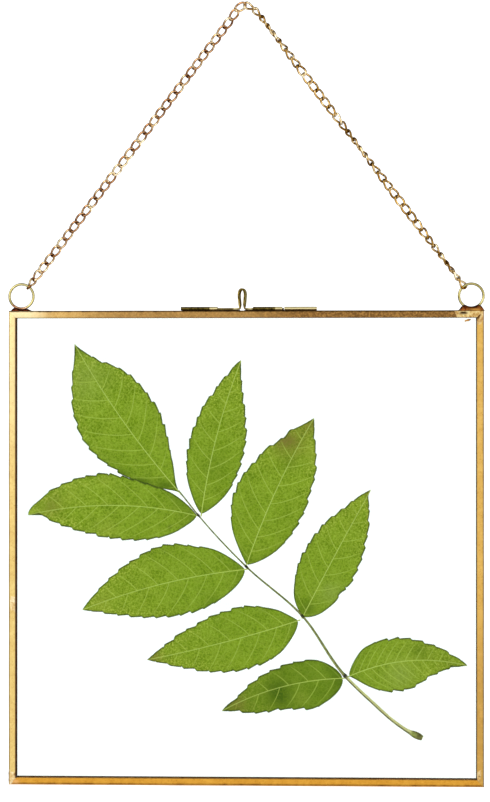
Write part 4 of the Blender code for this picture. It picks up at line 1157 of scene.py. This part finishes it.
def stalkSkin():
    # tapering flattened rod with low ribs, swollen at each pair of leaflets and at the cut end
    s = stalkSet
    knots = np.array(s["points"]) + (*leafSet["place"], 0.0)
    line = smoothCurve(knots, np.linspace(0.0, 1.0, s["rows"]))
    gone = [np.linalg.norm(line[:, :2] - knots[i, :2], axis=1) for i in s["joints"]]
    joint = sum(bell(far / s["swellReach"]) for far in gone)
    line[:, 2] += s["swell"] * joint
    ahead = headings(line[:, :2])
    angle = fullTurn(s["sides"])[None, :]
    half = line[:, 2][:, None] * (1 + 0.04 * np.cos(3 * angle))
    x = line[:, :1] - ahead[:, 1:] * half * np.cos(angle)
    z = line[:, 1:2] + ahead[:, :1] * half * np.cos(angle)
    # colour: pale below the last joint with painted shade on its lower side, painted shade at both sides
    # above it, painted shade at the swollen end's sides and dark at the cut
    row, second, last = np.arange(len(line)), np.argmin(gone[1]), np.argmin(gone[3])
    pale = np.interp(row, [second, last, last + 4], [0.0, 0.25, 1.35])[:, None]
    below = np.interp(row, [last - 2, last + 4], [0.0, 1.0])[:, None]
    end = smoothStep((line[:, 2] - 0.9) / 0.3)[:, None]
    side = -np.cos(angle)
    dark = (below * smoothStep((side + 0.1) / 0.3)
            + 0.5 * (1 - below) * smoothStep((np.abs(side) - 0.6) / 0.3))
    cut = smoothStep((row - len(line) + 14) / 10)[:, None]
    dark = dark * (1 - end) + end * np.maximum(smoothStep((np.abs(side) - 0.4) / 0.4), 0.9 * cut)
    black = np.clip(1.4 * joint, 0.0, 1.0)[:, None] * (1 - end)
    return tube(placed(x, np.minimum(half, s["flat"]) * np.sin(angle), z),
                {"paleShare": pale, "endShare": end, "lineShade": dark, "jointShade": black})


def driedStalk():
    # Dried leaf stalk: ridged and a little shiny, thin and brown-olive above with painted shade at its sides,
    # pale yellow with painted shade along its lower edge below the last pair of leaflets, near black at the
    # joints, olive at the swollen cut end with painted shade at its sides.
    c = leafColours
    material, add, shade = newMaterial("driedLeafStalk")
    fibre = add("TexNoise", [add("TexCoord", take="Object"), 700.0, 4.0])
    colour = add("ValToRGB", [fibre], ramp=[(0.38, c["stalkDeep"]), (0.6, c["stalk"])])
    broken = add("MapRange", [fibre, 0.3, 0.55, 0.75, 1.0])
    for word, tint in (("paleShare", "stalkPale"), ("endShare", "stalkEnd"), ("lineShade", "stalkLine"),
                       ("jointShade", "stalkJoint")):
        share = add("Attribute", choice=word, take="Fac")
        ragged = add("Math", [share, broken], "MULTIPLY", clamp=True)
        colour = add("Mix", [ragged, colour, c[tint]], "RGBA")
    shade({"Base Color": colour, "Roughness": 0.5,
           "Normal": add("Bump", {"Height": fibre, "Strength": 0.5, "Distance": 0.05 * mm})})
    return material


def buildLeaf():
    blade, stalk = pressedLeaf(), driedStalk()
    for word, leaf in leaflets.items():
        node = "leaflet_end" if word == "End" else f"leaflet_{word[0]}_{word[1:].lower()}"
        makePiece("leaflet" + word, leafletSkin(leaf), blade, "front_half", [node], sharp=70.0)
    makePiece("leafStalk", stalkSkin(), stalk, "front_half", ["leaf_stalk"])
    print("leaf built")


buildStage()
buildRails()
buildPanes()
buildRings()
buildChain()
buildLatch()
buildHinges()
buildLeaf()
